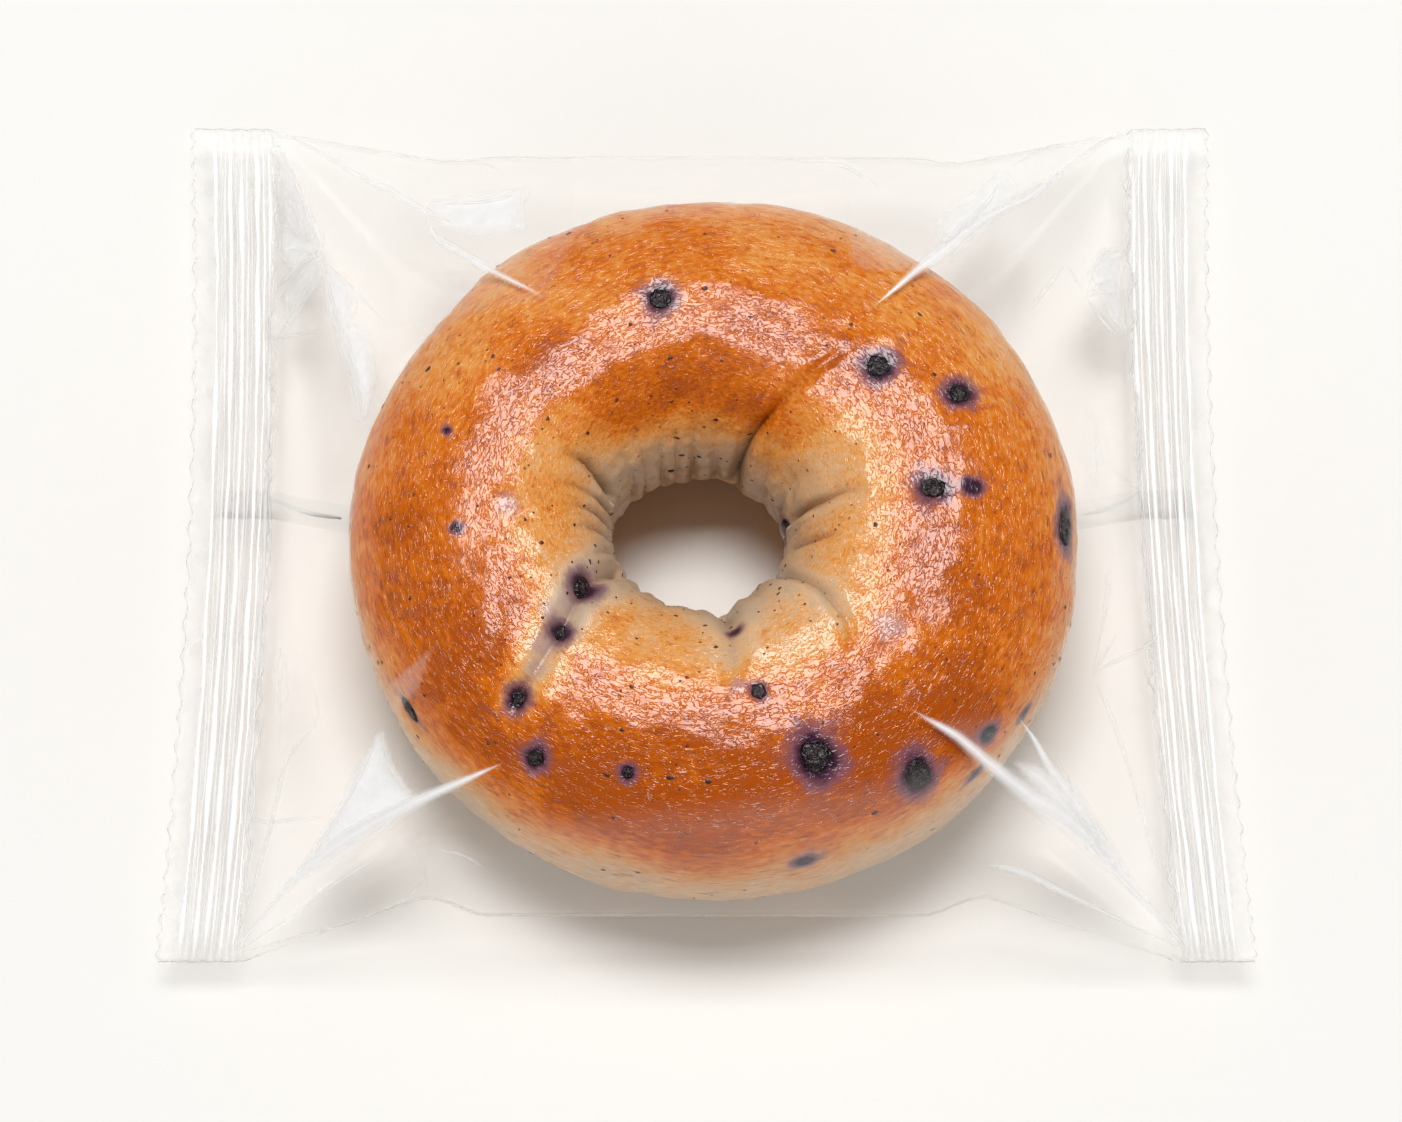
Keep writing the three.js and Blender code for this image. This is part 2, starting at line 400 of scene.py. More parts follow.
@dataclass(frozen=True)
class CrustFinish:
    """Glazed bread crust: pale dough at the hole, golden slopes and a brown crest."""

    dough: Colour = (0.57, 0.42, 0.28)
    cream: Colour = (0.76, 0.45, 0.225)
    golden: Colour = (0.83, 0.335, 0.066)
    brown: Colour = (0.70, 0.158, 0.002)
    deep: Colour = (0.44, 0.078, 0.001)
    # the pore colour also serves as painted shade in crease crannies
    pore: Colour = (0.15, 0.045, 0.012)
    halo: Colour = (0.20, 0.085, 0.13)
    juice: Colour = (0.032, 0.007, 0.026)
    bruise: Colour = (0.46, 0.30, 0.31)
    roughness: float = 0.13
    glaze: float = 1.5

    def material(self) -> bpy.types.Material:
        """Make the material.

        Returns:
            A material that reads the layers of browning (with painted light), juice, bruise, painted
            shade in crease crannies, flank, and the grain's own coordinates, which are drawn out round the
            ring.
        """
        shade = Shade("crust")
        places = shade.places()
        lie = {k: shade.layer(name) for k, name in enumerate(("grain_x", "grain_y", "grain_z"))}
        lie = shade.node("ShaderNodeCombineXYZ", None, lie).outputs[0]
        cloud = shade.noise(places, 10.0, 3.0) - 0.5
        blotch = shade.noise(places, 2.6, 4.0) - 0.5
        grain = shade.noise(lie, 0.5, 3.0, 0.4) - 0.5
        # the bake layer holds browning plus painted light: paler far and right slopes, a darker near flank
        bake = shade.layer("bake") + cloud * 0.42 + blotch * 0.36 + grain * 0.7
        tones = (self.dough, self.cream, self.golden, self.brown, self.deep)
        colour = shade.ramp(bake.held(), tuple(zip((0.0, 0.26, 0.5, 0.76, 1.0), tones)))
        pores = shade.cells(shade.stretched(places, (1.0, 1.0, 1.5)), 1.9)
        pore = shade.spot(pores, 0.07, 0.15) * shade.lot(pores, 0).step(0.55, 0.75)
        colour = shade.blend(colour, self.pore, (pore * 0.75).most(grain.step(0.1, 0.32) * 0.4))
        dashes = shade.cells(shade.stretched(lie, (0.6, 0.6, 1.0)), 1.0)
        dash = shade.spot(dashes, 0.06, 0.24) * shade.lot(dashes, 1).step(0.25, 0.75) * shade.layer("flank")
        colour = shade.blend(colour, self.pore, dash * 0.65)
        bruise = (shade.layer("bruise") + blotch * 0.5).step(0.15, 0.9)
        colour = shade.blend(colour, self.bruise, bruise * 0.6)
        juice = shade.layer("juice") + blotch * 0.5 + grain * 0.25
        colour = shade.blend(colour, self.halo, juice.step(0.03, 0.38) * 0.8)
        colour = shade.blend(colour, self.juice, juice.step(0.3, 0.75) * 0.97)
        # painted shade: crease crannies darkened towards the pore colour
        colour = shade.blend(colour, self.pore, shade.layer("painted_crease_shade") * 0.8)
        wrinkle = shade.noise(lie, 0.62, 1.0, 1.1) - 0.5
        plate = (wrinkle.size() * 15.0).least(1.0)
        swell = shade.noise(places, 2.4, 3.0, 0.8)
        taut = shade.layer("bake").step(0.05, 0.4)
        height = plate * (0.25 + taut * 0.75) + swell * 1.5 + grain * 0.5 - (pore + dash * 0.6) * 1.2
        inputs = {
            "Base Color": colour,
            "Roughness": self.roughness + blotch * 0.1 + (1.0 - taut) * 0.25,
            "IOR": self.glaze,
            "Normal": shade.bump(height, 0.045),
        }
        return shade.finish(shade.node("ShaderNodeBsdfPrincipled", None, inputs))


@dataclass(frozen=True)
class BerryFinish:
    """Baked berry skin: dark, wrinkled and glossy, with a grey bloom on top."""

    skin: Colour = (0.010, 0.004, 0.006)
    bloom: Colour = (0.044, 0.030, 0.030)

    def material(self) -> bpy.types.Material:
        """Make the material, which reads the layer bloom.

        Returns:
            A dark, glossy material.
        """
        shade = Shade("blueberry")
        places = shade.places()
        fold = shade.noise(places, 0.8, 3.0, 1.5)
        bloom = (shade.layer("bloom") + (fold - 0.5) * 1.6).step(0.35, 0.95)
        inputs = {
            "Base Color": shade.blend(self.skin, self.bloom, bloom),
            "Roughness": 0.13 + bloom * 0.2,
            "IOR": 1.5,
            "Normal": shade.bump(fold, 0.4),
        }
        return shade.finish(shade.node("ShaderNodeBsdfPrincipled", None, inputs))


@dataclass(frozen=True)
class SpeckFinish:
    """Small bits of berry skin in the crust."""

    dark: Colour = (0.030, 0.008, 0.006)
    light: Colour = (0.10, 0.030, 0.012)

    def material(self) -> bpy.types.Material:
        """Make the material.

        Returns:
            A dark, dull material.
        """
        shade = Shade("speck")
        patch = shade.noise(shade.places(), 0.9, 2.0).step(0.35, 0.7)
        inputs = {"Base Color": shade.blend(self.dark, self.light, patch), "Roughness": 0.4 + patch * 0.2}
        return shade.finish(shade.node("ShaderNodeBsdfPrincipled", None, inputs))


@dataclass(frozen=True)
class FilmFinish:
    """Clear glossy film: it mirrors a little, whitens where it is crimped, and carries painted highlights
    and painted reflections.
    """

    tint: Colour = (0.998, 0.997, 0.995)
    grey: Colour = (0.975, 0.97, 0.96)
    # colour of the painted highlights on folds, ribs and panes
    painted_highlight_white: Colour = (0.99, 0.985, 0.98)
    roughness: float = 0.09

    def material(self) -> bpy.types.Material:
        """Make the material.

        Returns:
            A see-through material that reads the layers of painted highlight, of milky film with painted
            reflection, and of gloss.
        """
        shade = Shade("film")
        slant = Value(shade, shade.node("ShaderNodeLayerWeight", None, {"Blend": 0.5}).outputs["Facing"])
        clear = shade.node("ShaderNodeBsdfTransparent", None, {"Color": (*self.tint, 1.0)})
        glossy = {"Color": (1.0, 1.0, 1.0, 1.0), "Roughness": self.roughness}
        mirror = shade.node("ShaderNodeBsdfGlossy", None, glossy)
        mirrored = ((slant ** 5.0 * 0.25 + 0.006) * shade.layer("gloss")).held()
        skin = shade.either(mirrored, clear, mirror)
        cloudy = {"Base Color": (*self.grey, 1.0), "Roughness": 0.45}
        milky = shade.node("ShaderNodeBsdfPrincipled", None, cloudy)
        # milky film, with painted reflections where the panes raise it
        milky_with_painted_reflection = shade.either((shade.layer("haze_and_painted_reflection") + slant ** 5.0 * 0.3).held(), skin, milky)
        # painted highlight: a pale surface mixed in along folds, ribs and panes
        painted_highlight_finish = {"Base Color": (*self.painted_highlight_white, 1.0), "Roughness": 0.6, "Metallic": 0.15}
        painted_highlight_bsdf = shade.node("ShaderNodeBsdfPrincipled", None, painted_highlight_finish)
        cloud = shade.noise(shade.places(), 3.0, 2.0, 0.5)
        painted_highlight = (shade.layer("painted_highlight") * (0.8 + cloud * 0.4)).held()
        return shade.finish(shade.either(painted_highlight, milky_with_painted_reflection, painted_highlight_bsdf))


@dataclass(frozen=True)
class TableFinish:
    """The pale matt surface that the bag lies on."""

    paper: Colour = (0.93, 0.915, 0.885)

    def material(self) -> bpy.types.Material:
        """Make the material.

        Returns:
            A pale, matt material.
        """
        shade = Shade("table")
        mottle = shade.noise(shade.places(), 4.0, 3.0)
        darker = tuple(part * 0.99 for part in self.paper)
        inputs = {
            "Base Color": shade.blend(self.paper, darker, mottle),
            "Roughness": 0.85,
            "Specular IOR Level": 0.1,
        }
        return shade.finish(shade.node("ShaderNodeBsdfPrincipled", None, inputs))


# ------------------------------------------------------------------ the bagel


@dataclass(frozen=True)
class Ring:
    """The bagel's plain form: a ring about an off-centre hole, with a superellipse section."""

    centre_x: float = 1.7
    centre_y: float = -7.0
    radius: float = 52.5
    hole_x: float = -0.6
    hole_radius: float = 12.2
    hole_depth: float = 11.3
    height: float = 36.6
    power: float = 2.35
    lean: float = 0.07

    def share(self, section: Array) -> tuple[Array, Array]:
        """Give how far out from the hole a section angle is, and how high, both from 0 to 1.

        Args:
            section: Section angles in radians.

        Returns:
            The shares out and up.
        """
        c, s = np.cos(section), np.sin(section)
        scale = (np.abs(c) ** self.power + np.abs(s) ** self.power) ** (-1.0 / self.power)
        out, up = 0.5 + 0.5 * scale * c, 0.5 + 0.5 * scale * s
        return out - self.lean * smooth(2.0 * up - 1.0) * 4.0 * out * (1.0 - out), up

    def reach(self, section: Array) -> Array:
        """Give the distance from the hole's middle at section angles."""
        return lerp(self.hole_radius, self.radius, self.share(section)[0])

    def point(self, ring: Array, section: Array) -> Array:
        """Give the places of ring and section angles.

        Args:
            ring: Ring angles in radians.
            section: Section angles in radians.

        Returns:
            Places along a new last axis, in millimetres.
        """
        out, up = self.share(section)
        hole_x = self.hole_x + self.hole_radius * np.cos(ring)
        rim_x = self.centre_x + self.radius * np.cos(ring)
        x = lerp(hole_x, rim_x, out)
        y = self.centre_y + lerp(self.hole_depth, self.radius, out) * np.sin(ring)
        return np.stack([x, y, self.height * up + 0.0 * ring], axis=-1)


@dataclass(frozen=True)
class Crease:
    """A fold of the dough, from its deep end to where it fades out.

    A positive overlap lets the dough on the side of the greater ring angles stand over.
    """

    path: Places
    depth: float
    width: float
    overlap: float = 0.0
    pale: float = 0.0


class Bake(Enum):
    """How a berry shows in the crust."""

    WHOLE = "whole"
    SUNK = "sunk"
    STAIN = "stain"
    BRUISE = "bruise"


@dataclass(frozen=True)
class Berry:
    """One berry in the crust: where it is, how wide, and how much longer it is round the ring."""

    ring: float
    section: float
    width: float
    bake: Bake = Bake.WHOLE
    stretch: float = 1.0


CREASES = (
    Crease(((67, 200), (62, 163), (59, 143), (56, 131), (53, 110), (49, 86)), 2.4, 0.9, -1.5, 0.10),
    Crease(((7, 165), (4, 134), (5, 122), (4, 109)), 1.7, 0.8, -1.3, 0.05),
    Crease(((343, 159), (344, 131), (346, 122)), 1.3, 0.7, -0.9, 0.0),
    Crease(((322, 165), (320, 138), (320, 116), (316, 97), (310, 88)), 1.5, 1.0, -1.5, 0.32),
    Crease(((157, 165), (155, 140), (156, 129), (158, 115)), 1.9, 0.8, 1.4, 0.08),
    Crease(((166, 175), (168, 136), (170, 118)), 0.8, 0.5, 0.5, 0.0),
    Crease(((176, 178), (177, 143), (179, 124)), 0.9, 0.5, 0.5, 0.0),
    Crease(((187, 180), (188, 148), (190, 126)), 0.9, 0.6, 0.5, 0.0),
    Crease(((199, 182), (202, 154), (205, 136)), 1.1, 0.6, 0.6, 0.10),
    Crease(((214, 159), (218, 119), (225, 93), (228, 63), (231, 48)), 1.9, 1.4, -0.4, 0.95),
    Crease(((283, 168), (283, 135), (281, 115), (278, 92)), 2.2, 1.5, 0.2, 0.50),
    Crease(((250, 185), (252, 148)), 0.9, 0.8, 0.0, 0.0),
    Crease(((112, 200), (114, 168)), 0.7, 0.5, 0.0, 0.0),
    Crease(((94, 200), (93, 165)), 0.8, 0.5, 0.0, 0.0),
    Crease(((80, 200), (78, 168)), 0.7, 0.5, 0.0, 0.0),
    Crease(((137, 195), (134, 159)), 0.9, 0.7, 0.4, 0.0),
)

BERRIES = (
    Berry(102, 84, 3.5),
    Berry(40, 84, 3.7),
    Berry(25, 65, 3.2),
    Berry(3, 84, 3.6),
    Berry(359, 30, 3.2, Bake.WHOLE, 1.9),
    Berry(218, 119, 3.8),
    Berry(225, 94, 2.8),
    Berry(228, 63, 2.6),
    Berry(237, 50, 2.6),
    Berry(284, 89, 2.6, Bake.SUNK),
    Berry(291, 61, 5.0),
    Berry(306, 39, 4.3),
    Berry(284, 22, 4.4, Bake.BRUISE, 1.6),
    Berry(284, 22, 2.2, Bake.STAIN, 1.6),
    Berry(215, 130, 4.0, Bake.BRUISE),
    Berry(220, 106, 4.4, Bake.BRUISE),
    Berry(224, 84, 4.0, Bake.BRUISE),
    Berry(227, 76, 3.4, Bake.BRUISE),
    Berry(279, 93, 3.0, Bake.BRUISE),
    Berry(9, 179, 3.0, Bake.WHOLE, 1.3),
    Berry(254, 58, 1.7),
    Berry(3, 70, 2.8, Bake.STAIN),
    Berry(283, 121, 2.0, Bake.STAIN),
    Berry(164, 66, 1.4, Bake.STAIN),
    Berry(187, 74, 1.7, Bake.STAIN),
    Berry(213, 24, 2.0, Bake.SUNK, 2.4),
    Berry(320, 31, 2.0, Bake.WHOLE, 1.4),
    Berry(327, 20, 1.8, Bake.STAIN, 1.8),
    Berry(315, 19, 2.0, Bake.STAIN, 2.0),
    Berry(182, 96, 4.6, Bake.BRUISE),
    Berry(323, 84, 5.0, Bake.BRUISE),
    Berry(218, 96, 3.4, Bake.BRUISE),
)

PLEAT_ANGLES = (
    7, 25, 44, 67, 80, 94, 104, 114, 126, 137, 157, 166,
    176, 187, 199, 214, 232, 252, 268, 283, 302, 322, 343, 356,
)


@dataclass
class Bagel:
    """The ring of bread: its plain form with lobes, creases, pleats and berry hollows."""

    form: Ring = field(default_factory=Ring)
    ring_steps: int = 560
    section_steps: int = 176
    lift: float = 0.25
    proud: float = 0.22
    arc: float = 20.0
    points: Array = field(init=False)
    normals: Array = field(init=False)
    ring: Array = field(init=False)
    section: Array = field(init=False)

    def sections(self) -> Array:
        """Give the section angles of the grid, closer together where the crust is seen.

        Returns:
            Angles in radians, from -pi up.
        """
        fine = np.linspace(-math.pi, math.pi, 4001)
        places = self.form.point(np.zeros_like(fine), fine)
        lengths = np.linalg.norm(np.diff(places, axis=0), axis=1)
        middle = (fine[1:] + fine[:-1]) / 2.0
        hidden = smooth((-0.35 - middle) / 0.5) * smooth((middle + 2.6) / 0.4)
        run = np.concatenate([[0.0], np.cumsum(lengths * (1.0 - 0.62 * hidden))])
        wanted = np.linspace(0.0, run[-1], self.section_steps, endpoint=False)
        return np.interp(wanted, run, fine)

    def nearest(self, path: Places) -> tuple[Array, Array, Array]:
        """Measure how the grid's places lie to a path on the crust.

        Args:
            path: Ring and section angles of the path, in degrees.

        Returns:
            Distance in millimetres, share along the path, and side as -1 or 1.
        """
        reach = self.form.reach(self.section)
        away = np.full(self.ring.shape, np.inf)
        share = np.zeros_like(away)
        side = np.ones_like(away)
        legs = len(path) - 1
        ring_0, section_0 = (math.radians(angle) for angle in path[legs // 2])
        ring_way = (self.ring - ring_0 + math.pi) % (2.0 * math.pi) - math.pi
        section_way = (self.section - section_0 + math.pi) % (2.0 * math.pi) - math.pi
        spots = []
        for ring, section in path:
            round_way = math.radians(ring) - ring_0 - ring_way
            up_way = math.radians(section) - section_0 - section_way
            spots.append((round_way * reach, up_way * self.arc))
        for leg in range(legs):
            (ax, ay), (bx, by) = spots[leg], spots[leg + 1]
            dx, dy = bx - ax, by - ay
            part = np.clip(-(ax * dx + ay * dy) / (dx * dx + dy * dy), 0.0, 1.0)
            gap = np.hypot(ax + part * dx, ay + part * dy)
            nearer = gap < away
            away = np.where(nearer, gap, away)
            share = np.where(nearer, (leg + part) / legs, share)
            side = np.where(nearer, np.sign(dy * ax - dx * ay), side)
        return away, share, side

    def pleats(self) -> Array:
        """Give the lobes of the hole's wall: round between sharp grooves, from -1 to 1.

        Returns:
            One number for each place of the grid.
        """
        angles = np.radians(np.array(PLEAT_ANGLES, dtype=float))
        ends = np.append(angles, angles[0] + 2.0 * math.pi)
        ring = (self.ring - angles[0]) % (2.0 * math.pi) + angles[0]
        slot = np.clip(np.searchsorted(ends, ring, side="right") - 1, 0, len(angles) - 1)
        part = (ring - ends[slot]) / (ends[slot + 1] - ends[slot])
        width = (ends[slot + 1] - ends[slot]) / math.radians(18.0)
        return (np.abs(np.sin(math.pi * part)) ** 0.5 - 0.7) * np.sqrt(width)

    def berry_gap(self, berry: Berry) -> Array:
        """Give distances from a berry's middle, as shares of its half width.

        Args:
            berry: The berry to measure from.

        Returns:
            One distance for each place of the grid.
        """
        reach = self.form.reach(self.section)
        round_way = (math.radians(berry.ring) - self.ring + math.pi) % (2.0 * math.pi) - math.pi
        up_way = (math.radians(berry.section) - self.section + math.pi) % (2.0 * math.pi) - math.pi
        return np.hypot(round_way * reach / berry.stretch, up_way * self.arc) / (berry.width / 2.0)

    def relief(self, plain: Array) -> tuple[Array, dict[str, Array]]:
        """Work out how far the crust stands off its plain form, and its colour layers, painted light
        included.

        Args:
            plain: The plain form's places.

        Returns:
            Offsets in millimetres, and the crust's layers.
        """
        degrees = np.degrees(self.section) % 360.0
        level = (self.section + math.pi) % (2.0 * math.pi) - math.pi
        wall = smooth((degrees - 128.0) / 42.0) * (1.0 - smooth((degrees - 235.0) / 25.0))
        offset = -0.45 + 0.17 * Ripple(26.0, 3).at(plain)
        offset = offset + 0.06 * Ripple(7.0, 4).at(plain) + 0.03 * Ripple(3.2, 5).at(plain)
        offset += 0.75 * wall * self.pleats() * (1.0 + 0.25 * Ripple(12.0, 6).at(plain))
        offset += 0.10 * wall * Ripple(1.8, 7).at(plain)
        back_left = smooth(1.9 * np.cos(self.ring - math.radians(132.0)) - 0.9)
        offset -= 1.0 * back_left * smooth((degrees - 78.0) / 62.0) * (1.0 - wall) * (degrees < 200.0)
        # browning with painted light on the outer slopes
        layers = {"bake": self.browning_with_painted_light(degrees, level) + 0.05 * Ripple(18.0, 8).at(plain)}
        pressed, paler, layers["painted_crease_shade"] = self.creased()
        layers["bake"] -= paler
        sunk, layers["juice"], layers["bruise"] = self.stained()
        offset += pressed + sunk
        layers["flank"] = smooth((math.radians(64.0) - np.abs(level)) / math.radians(20.0))
        layers["grain_x"] = 14.0 * METRE * np.cos(self.ring)
        layers["grain_y"] = 14.0 * METRE * np.sin(self.ring)
        layers["grain_z"] = self.arc * METRE * level
        return np.minimum(offset, self.proud), layers

    def browning_with_painted_light(self, degrees: Array, level: Array) -> Array:
        """Work out how brown each part is (crest most, hole's wall and foot least), plus painted light.

        Args:
            degrees: Section angles from 0 to 360 degrees.
            level: Section angles from -pi to pi.

        Returns:
            0 for raw dough, 1 for the darkest crust.
        """
        far = smooth(1.6 * np.sin(self.ring) - 0.45)
        pale = 0.40 * (1.0 - far)
        inner = pale * smooth((degrees - 82.0) / 26.0)
        # on the far side the crust stays browner further down the inner slope, partly painted shade where
        # that slope is less lit
        inner += (0.80 - pale) * smooth((degrees - lerp(119.0, 125.0, far)) / lerp(46.0, 50.0, far))
        outer = smooth((math.radians(58.0) - level) / math.radians(85.0))
        bake = 0.86 - inner * (degrees < 270.0) - 0.45 * outer * (np.abs(level) < math.pi / 2.0)
        underside = (degrees > 200.0) & (degrees <= 270.0)
        bake = np.where(underside, 0.41 * smooth((degrees - 200.0) / 15.0), bake)
        # painted light: the far and right outer slopes paler
        slope = smooth((math.radians(92.0) - level) / math.radians(32.0))
        slope = slope * (np.abs(level) < math.radians(92.0))
        paler = 0.20 * smooth(1.5 * np.sin(self.ring) + 0.1) + 0.05 * smooth(1.5 * np.cos(self.ring))
        bake -= slope * paler
        # painted shade: the near flank darker
        near = smooth(-1.6 * np.sin(self.ring) - 0.1)
        bake += 0.20 * near * bell(level - math.radians(48.0), math.radians(26.0))
        low = smooth((math.radians(40.0) - level) / math.radians(30.0)) * (level > -math.pi / 2.0)
        bake -= 0.30 * near * low
        flap = smooth(np.cos(self.ring - math.radians(300.0)) * 3.0 - 2.0)
        return bake - 0.08 * flap * smooth((degrees - 78.0) / 20.0) * (degrees < 200.0)

    def creased(self) -> tuple[Array, Array, Array]:
        """Work out what the dough's creases do.

        Returns:
            Offsets in millimetres, how much paler the crust is, and the painted shade in its crannies.
        """
        offset, paler, painted_crease_shade = (np.zeros(self.ring.shape) for _ in range(3))
        for crease in CREASES:
            away, share, side = self.nearest(crease.path)
            fade = smooth(1.5 * (1.0 - share)) * bell(np.maximum(away - 5.0, 0.0), 3.0)
            offset += 0.5 * crease.overlap * side * fade * np.exp(-away / 3.2)
            offset -= crease.depth * (1.0 - share) ** 0.7 * bell(away, crease.width)
            paler += crease.pale * bell(away, crease.width * 2.6) * (1.0 - share ** 3)
            # painted shade deep in the crease, strongest at its deep end
            dark = 0.55 * bell(away, crease.width * 0.45) * (1.0 - share) ** 0.6
            painted_crease_shade = np.maximum(painted_crease_shade, dark)
        return offset, paler, painted_crease_shade

    def stained(self) -> tuple[Array, Array, Array]:
        """Work out what the berries do to the crust round them.

        Returns:
            Offsets in millimetres, how much juice there is, and how bruised the crust is.
        """
        offset, juice, bruise = (np.zeros(self.ring.shape) for _ in range(3))
        for berry in BERRIES:
            gap = self.berry_gap(berry)
            if berry.bake is Bake.BRUISE:
                bruise = np.maximum(bruise, 0.9 * bell(gap, 1.0))
                offset += 0.12 * bell(gap, 0.8)
                continue
            if berry.bake is not Bake.STAIN:
                offset -= 0.42 * bell(gap, 1.05)
            strength = 0.62 if berry.bake is Bake.SUNK else 1.0
            spread = 1.4 if berry.bake is Bake.WHOLE else 1.1
            juice = np.maximum(juice, strength * bell(gap, spread))
            juice = np.maximum(juice, 0.24 * strength * bell(gap, 1.75))
        return offset, juice, bruise

    def build(self) -> bpy.types.Object:
        """Make the bagel.

        Returns:
            The piece, in its crust.
        """
        around = np.linspace(0.0, 2.0 * math.pi, self.ring_steps, endpoint=False)
        self.ring, self.section = np.meshgrid(around, self.sections(), indexing="ij")
        plain = self.form.point(self.ring, self.section)
        offset, layers = self.relief(plain)
        points = plain + self.outward(plain) * offset[..., None]
        foot = self.lift + 0.06 * Ripple(9.0, 9).at(plain)
        height = points[..., 2]
        resting = height < foot + 0.6
        height = np.where(resting, lerp(np.maximum(height, foot), height, 0.25), height)
        points[..., 2] = np.maximum(height, self.lift * 0.6)
        self.points = points
        self.normals = self.outward(points)
        flat = {name: numbers.ravel() for name, numbers in layers.items()}
        made = make_piece("bread", points.reshape(-1, 3), self.faces(), CrustFinish().material(), flat)
        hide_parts("bagel")
        return made

    def faces(self) -> list[tuple[int, ...]]:
        """Number the faces of the ring's grid, which closes on itself both ways.

        Returns:
            Vertex numbers of each face.
        """
        faces = []
        for i in range(self.ring_steps):
            here, there = i * self.section_steps, (i + 1) % self.ring_steps * self.section_steps
            for j in range(self.section_steps):
                up = (j + 1) % self.section_steps
                faces.append((here + j, there + j, there + up, here + up))
        return faces

    @cached_property
    def tree(self) -> BVHTree:
        """The finished crust for rays to meet, in millimetres."""
        return BVHTree.FromPolygons([Vector(spot) for spot in self.points.reshape(-1, 3)], self.faces())

    @staticmethod
    def outward(points: Array) -> Array:
        """Give the outward normals of a closed grid of points.

        Args:
            points: Places, by ring step and section step.

        Returns:
            A normal of length 1 for each place.
        """
        round_way = np.roll(points, -1, axis=0) - np.roll(points, 1, axis=0)
        up_way = np.roll(points, -1, axis=1) - np.roll(points, 1, axis=1)
        normals = np.cross(round_way, up_way)
        return normals / np.maximum(np.linalg.norm(normals, axis=-1, keepdims=True), 1e-9)

    def on_crust(self, ring: float, section: float) -> tuple[Array, Array, Array]:
        """Find a place on the finished crust.

        Args:
            ring: Ring angle in degrees.
            section: Section angle in degrees.

        Returns:
            The place, its outward direction and the direction round the ring.
        """
        i = ring % 360.0 / 360.0 * self.ring_steps
        wanted = (math.radians(section) + math.pi) % (2.0 * math.pi) - math.pi
        j = np.interp(wanted, self.section[0], np.arange(self.section_steps))
        i0, j0 = int(i) % self.ring_steps, int(j)
        i1, j1 = (i0 + 1) % self.ring_steps, (j0 + 1) % self.section_steps
        u, v = i - int(i), j - int(j)
        spots = []
        for grid in (self.points, self.normals):
            low = lerp(grid[i0, j0], grid[i1, j0], u)
            high = lerp(grid[i0, j1], grid[i1, j1], u)
            spots.append(lerp(low, high, v))
        place, normal = spots
        normal = normal / np.linalg.norm(normal)
        along = np.array([-math.sin(math.radians(ring)), math.cos(math.radians(ring)), 0.0])
        along -= normal * (along @ normal)
        return place, normal, along / np.linalg.norm(along)


@dataclass
class Berries:
    """The berries that show: low wrinkled domes, sunk level with the crust."""

    bagel: Bagel
    rings: int = 12
    spokes: int = 32
    dome: float = 0.20

    def one(self, berry: Berry, seed: int) -> tuple[Array, list, Array]:
        """Make one berry.

        Args:
            berry: Where it is and how big.
            seed: What its wrinkles are drawn from.

        Returns:
            Its vertices, its faces and the bloom on them.
        """
        place, normal, along = self.bagel.on_crust(berry.ring, berry.section)
        across = np.cross(normal, along)
        out = np.linspace(0.0, 1.0, self.rings + 1)[1:]
        turn = np.linspace(0.0, 2.0 * math.pi, self.spokes, endpoint=False)
        reach, angle = np.meshgrid(out, turn, indexing="ij")
        edge = 1.0 + 0.07 * Ripple(2.2, seed).at(np.stack([np.cos(angle) * 2.0, np.sin(angle) * 2.0], -1))
        flat = np.stack([np.cos(angle), np.sin(angle)], -1) * (reach * edge * berry.width / 2.0)[..., None]
        wrinkle = 0.13 * np.abs(Ripple(berry.width * 0.42, seed + 50).at(flat))
        rise = 0.5 * berry.width * self.dome * (1.0 - reach ** 2.5) + 0.30
        rise = rise - wrinkle * (1.0 - reach ** 4) - 0.9 * smooth((reach - 0.86) / 0.14)
        rim = place + flat[..., :1] * berry.stretch * along + flat[..., 1:] * across
        rim = rim + rise[..., None] * normal
        top = place + normal * (0.5 * berry.width * self.dome + 0.25)
        points = np.vstack([top, rim.reshape(-1, 3)])
        faces = [(0, 1 + k, 1 + (k + 1) % self.spokes) for k in range(self.spokes)]
        for r in range(self.rings - 1):
            for k in range(self.spokes):
                near, far = 1 + r * self.spokes, 1 + (r + 1) * self.spokes
                step = (k + 1) % self.spokes
                faces.append((near + k, far + k, far + step, near + step))
        grey = 0.95 if berry.bake is Bake.SUNK else 0.6
        bloom = grey * (1.0 - smooth((np.append(0.0, reach.ravel()) - 0.45) / 0.4))
        return points, faces, bloom

    def build(self) -> bpy.types.Object:
        """Make all berries as one piece.

        Returns:
            The piece, with a bloom on each berry.
        """
        points, faces, blooms, count = [], [], [], 0
        for seed, berry in enumerate(BERRIES, start=100):
            if berry.bake in (Bake.STAIN, Bake.BRUISE):
                continue
            spots, sides, bloom = self.one(berry, seed)
            faces += [tuple(corner + count for corner in side) for side in sides]
            points.append(spots)
            blooms.append(bloom)
            count += len(spots)
        layers = {"bloom": np.concatenate(blooms)}
        made = make_piece("blueberries", np.vstack(points), faces, BerryFinish().material(), layers)
        return made


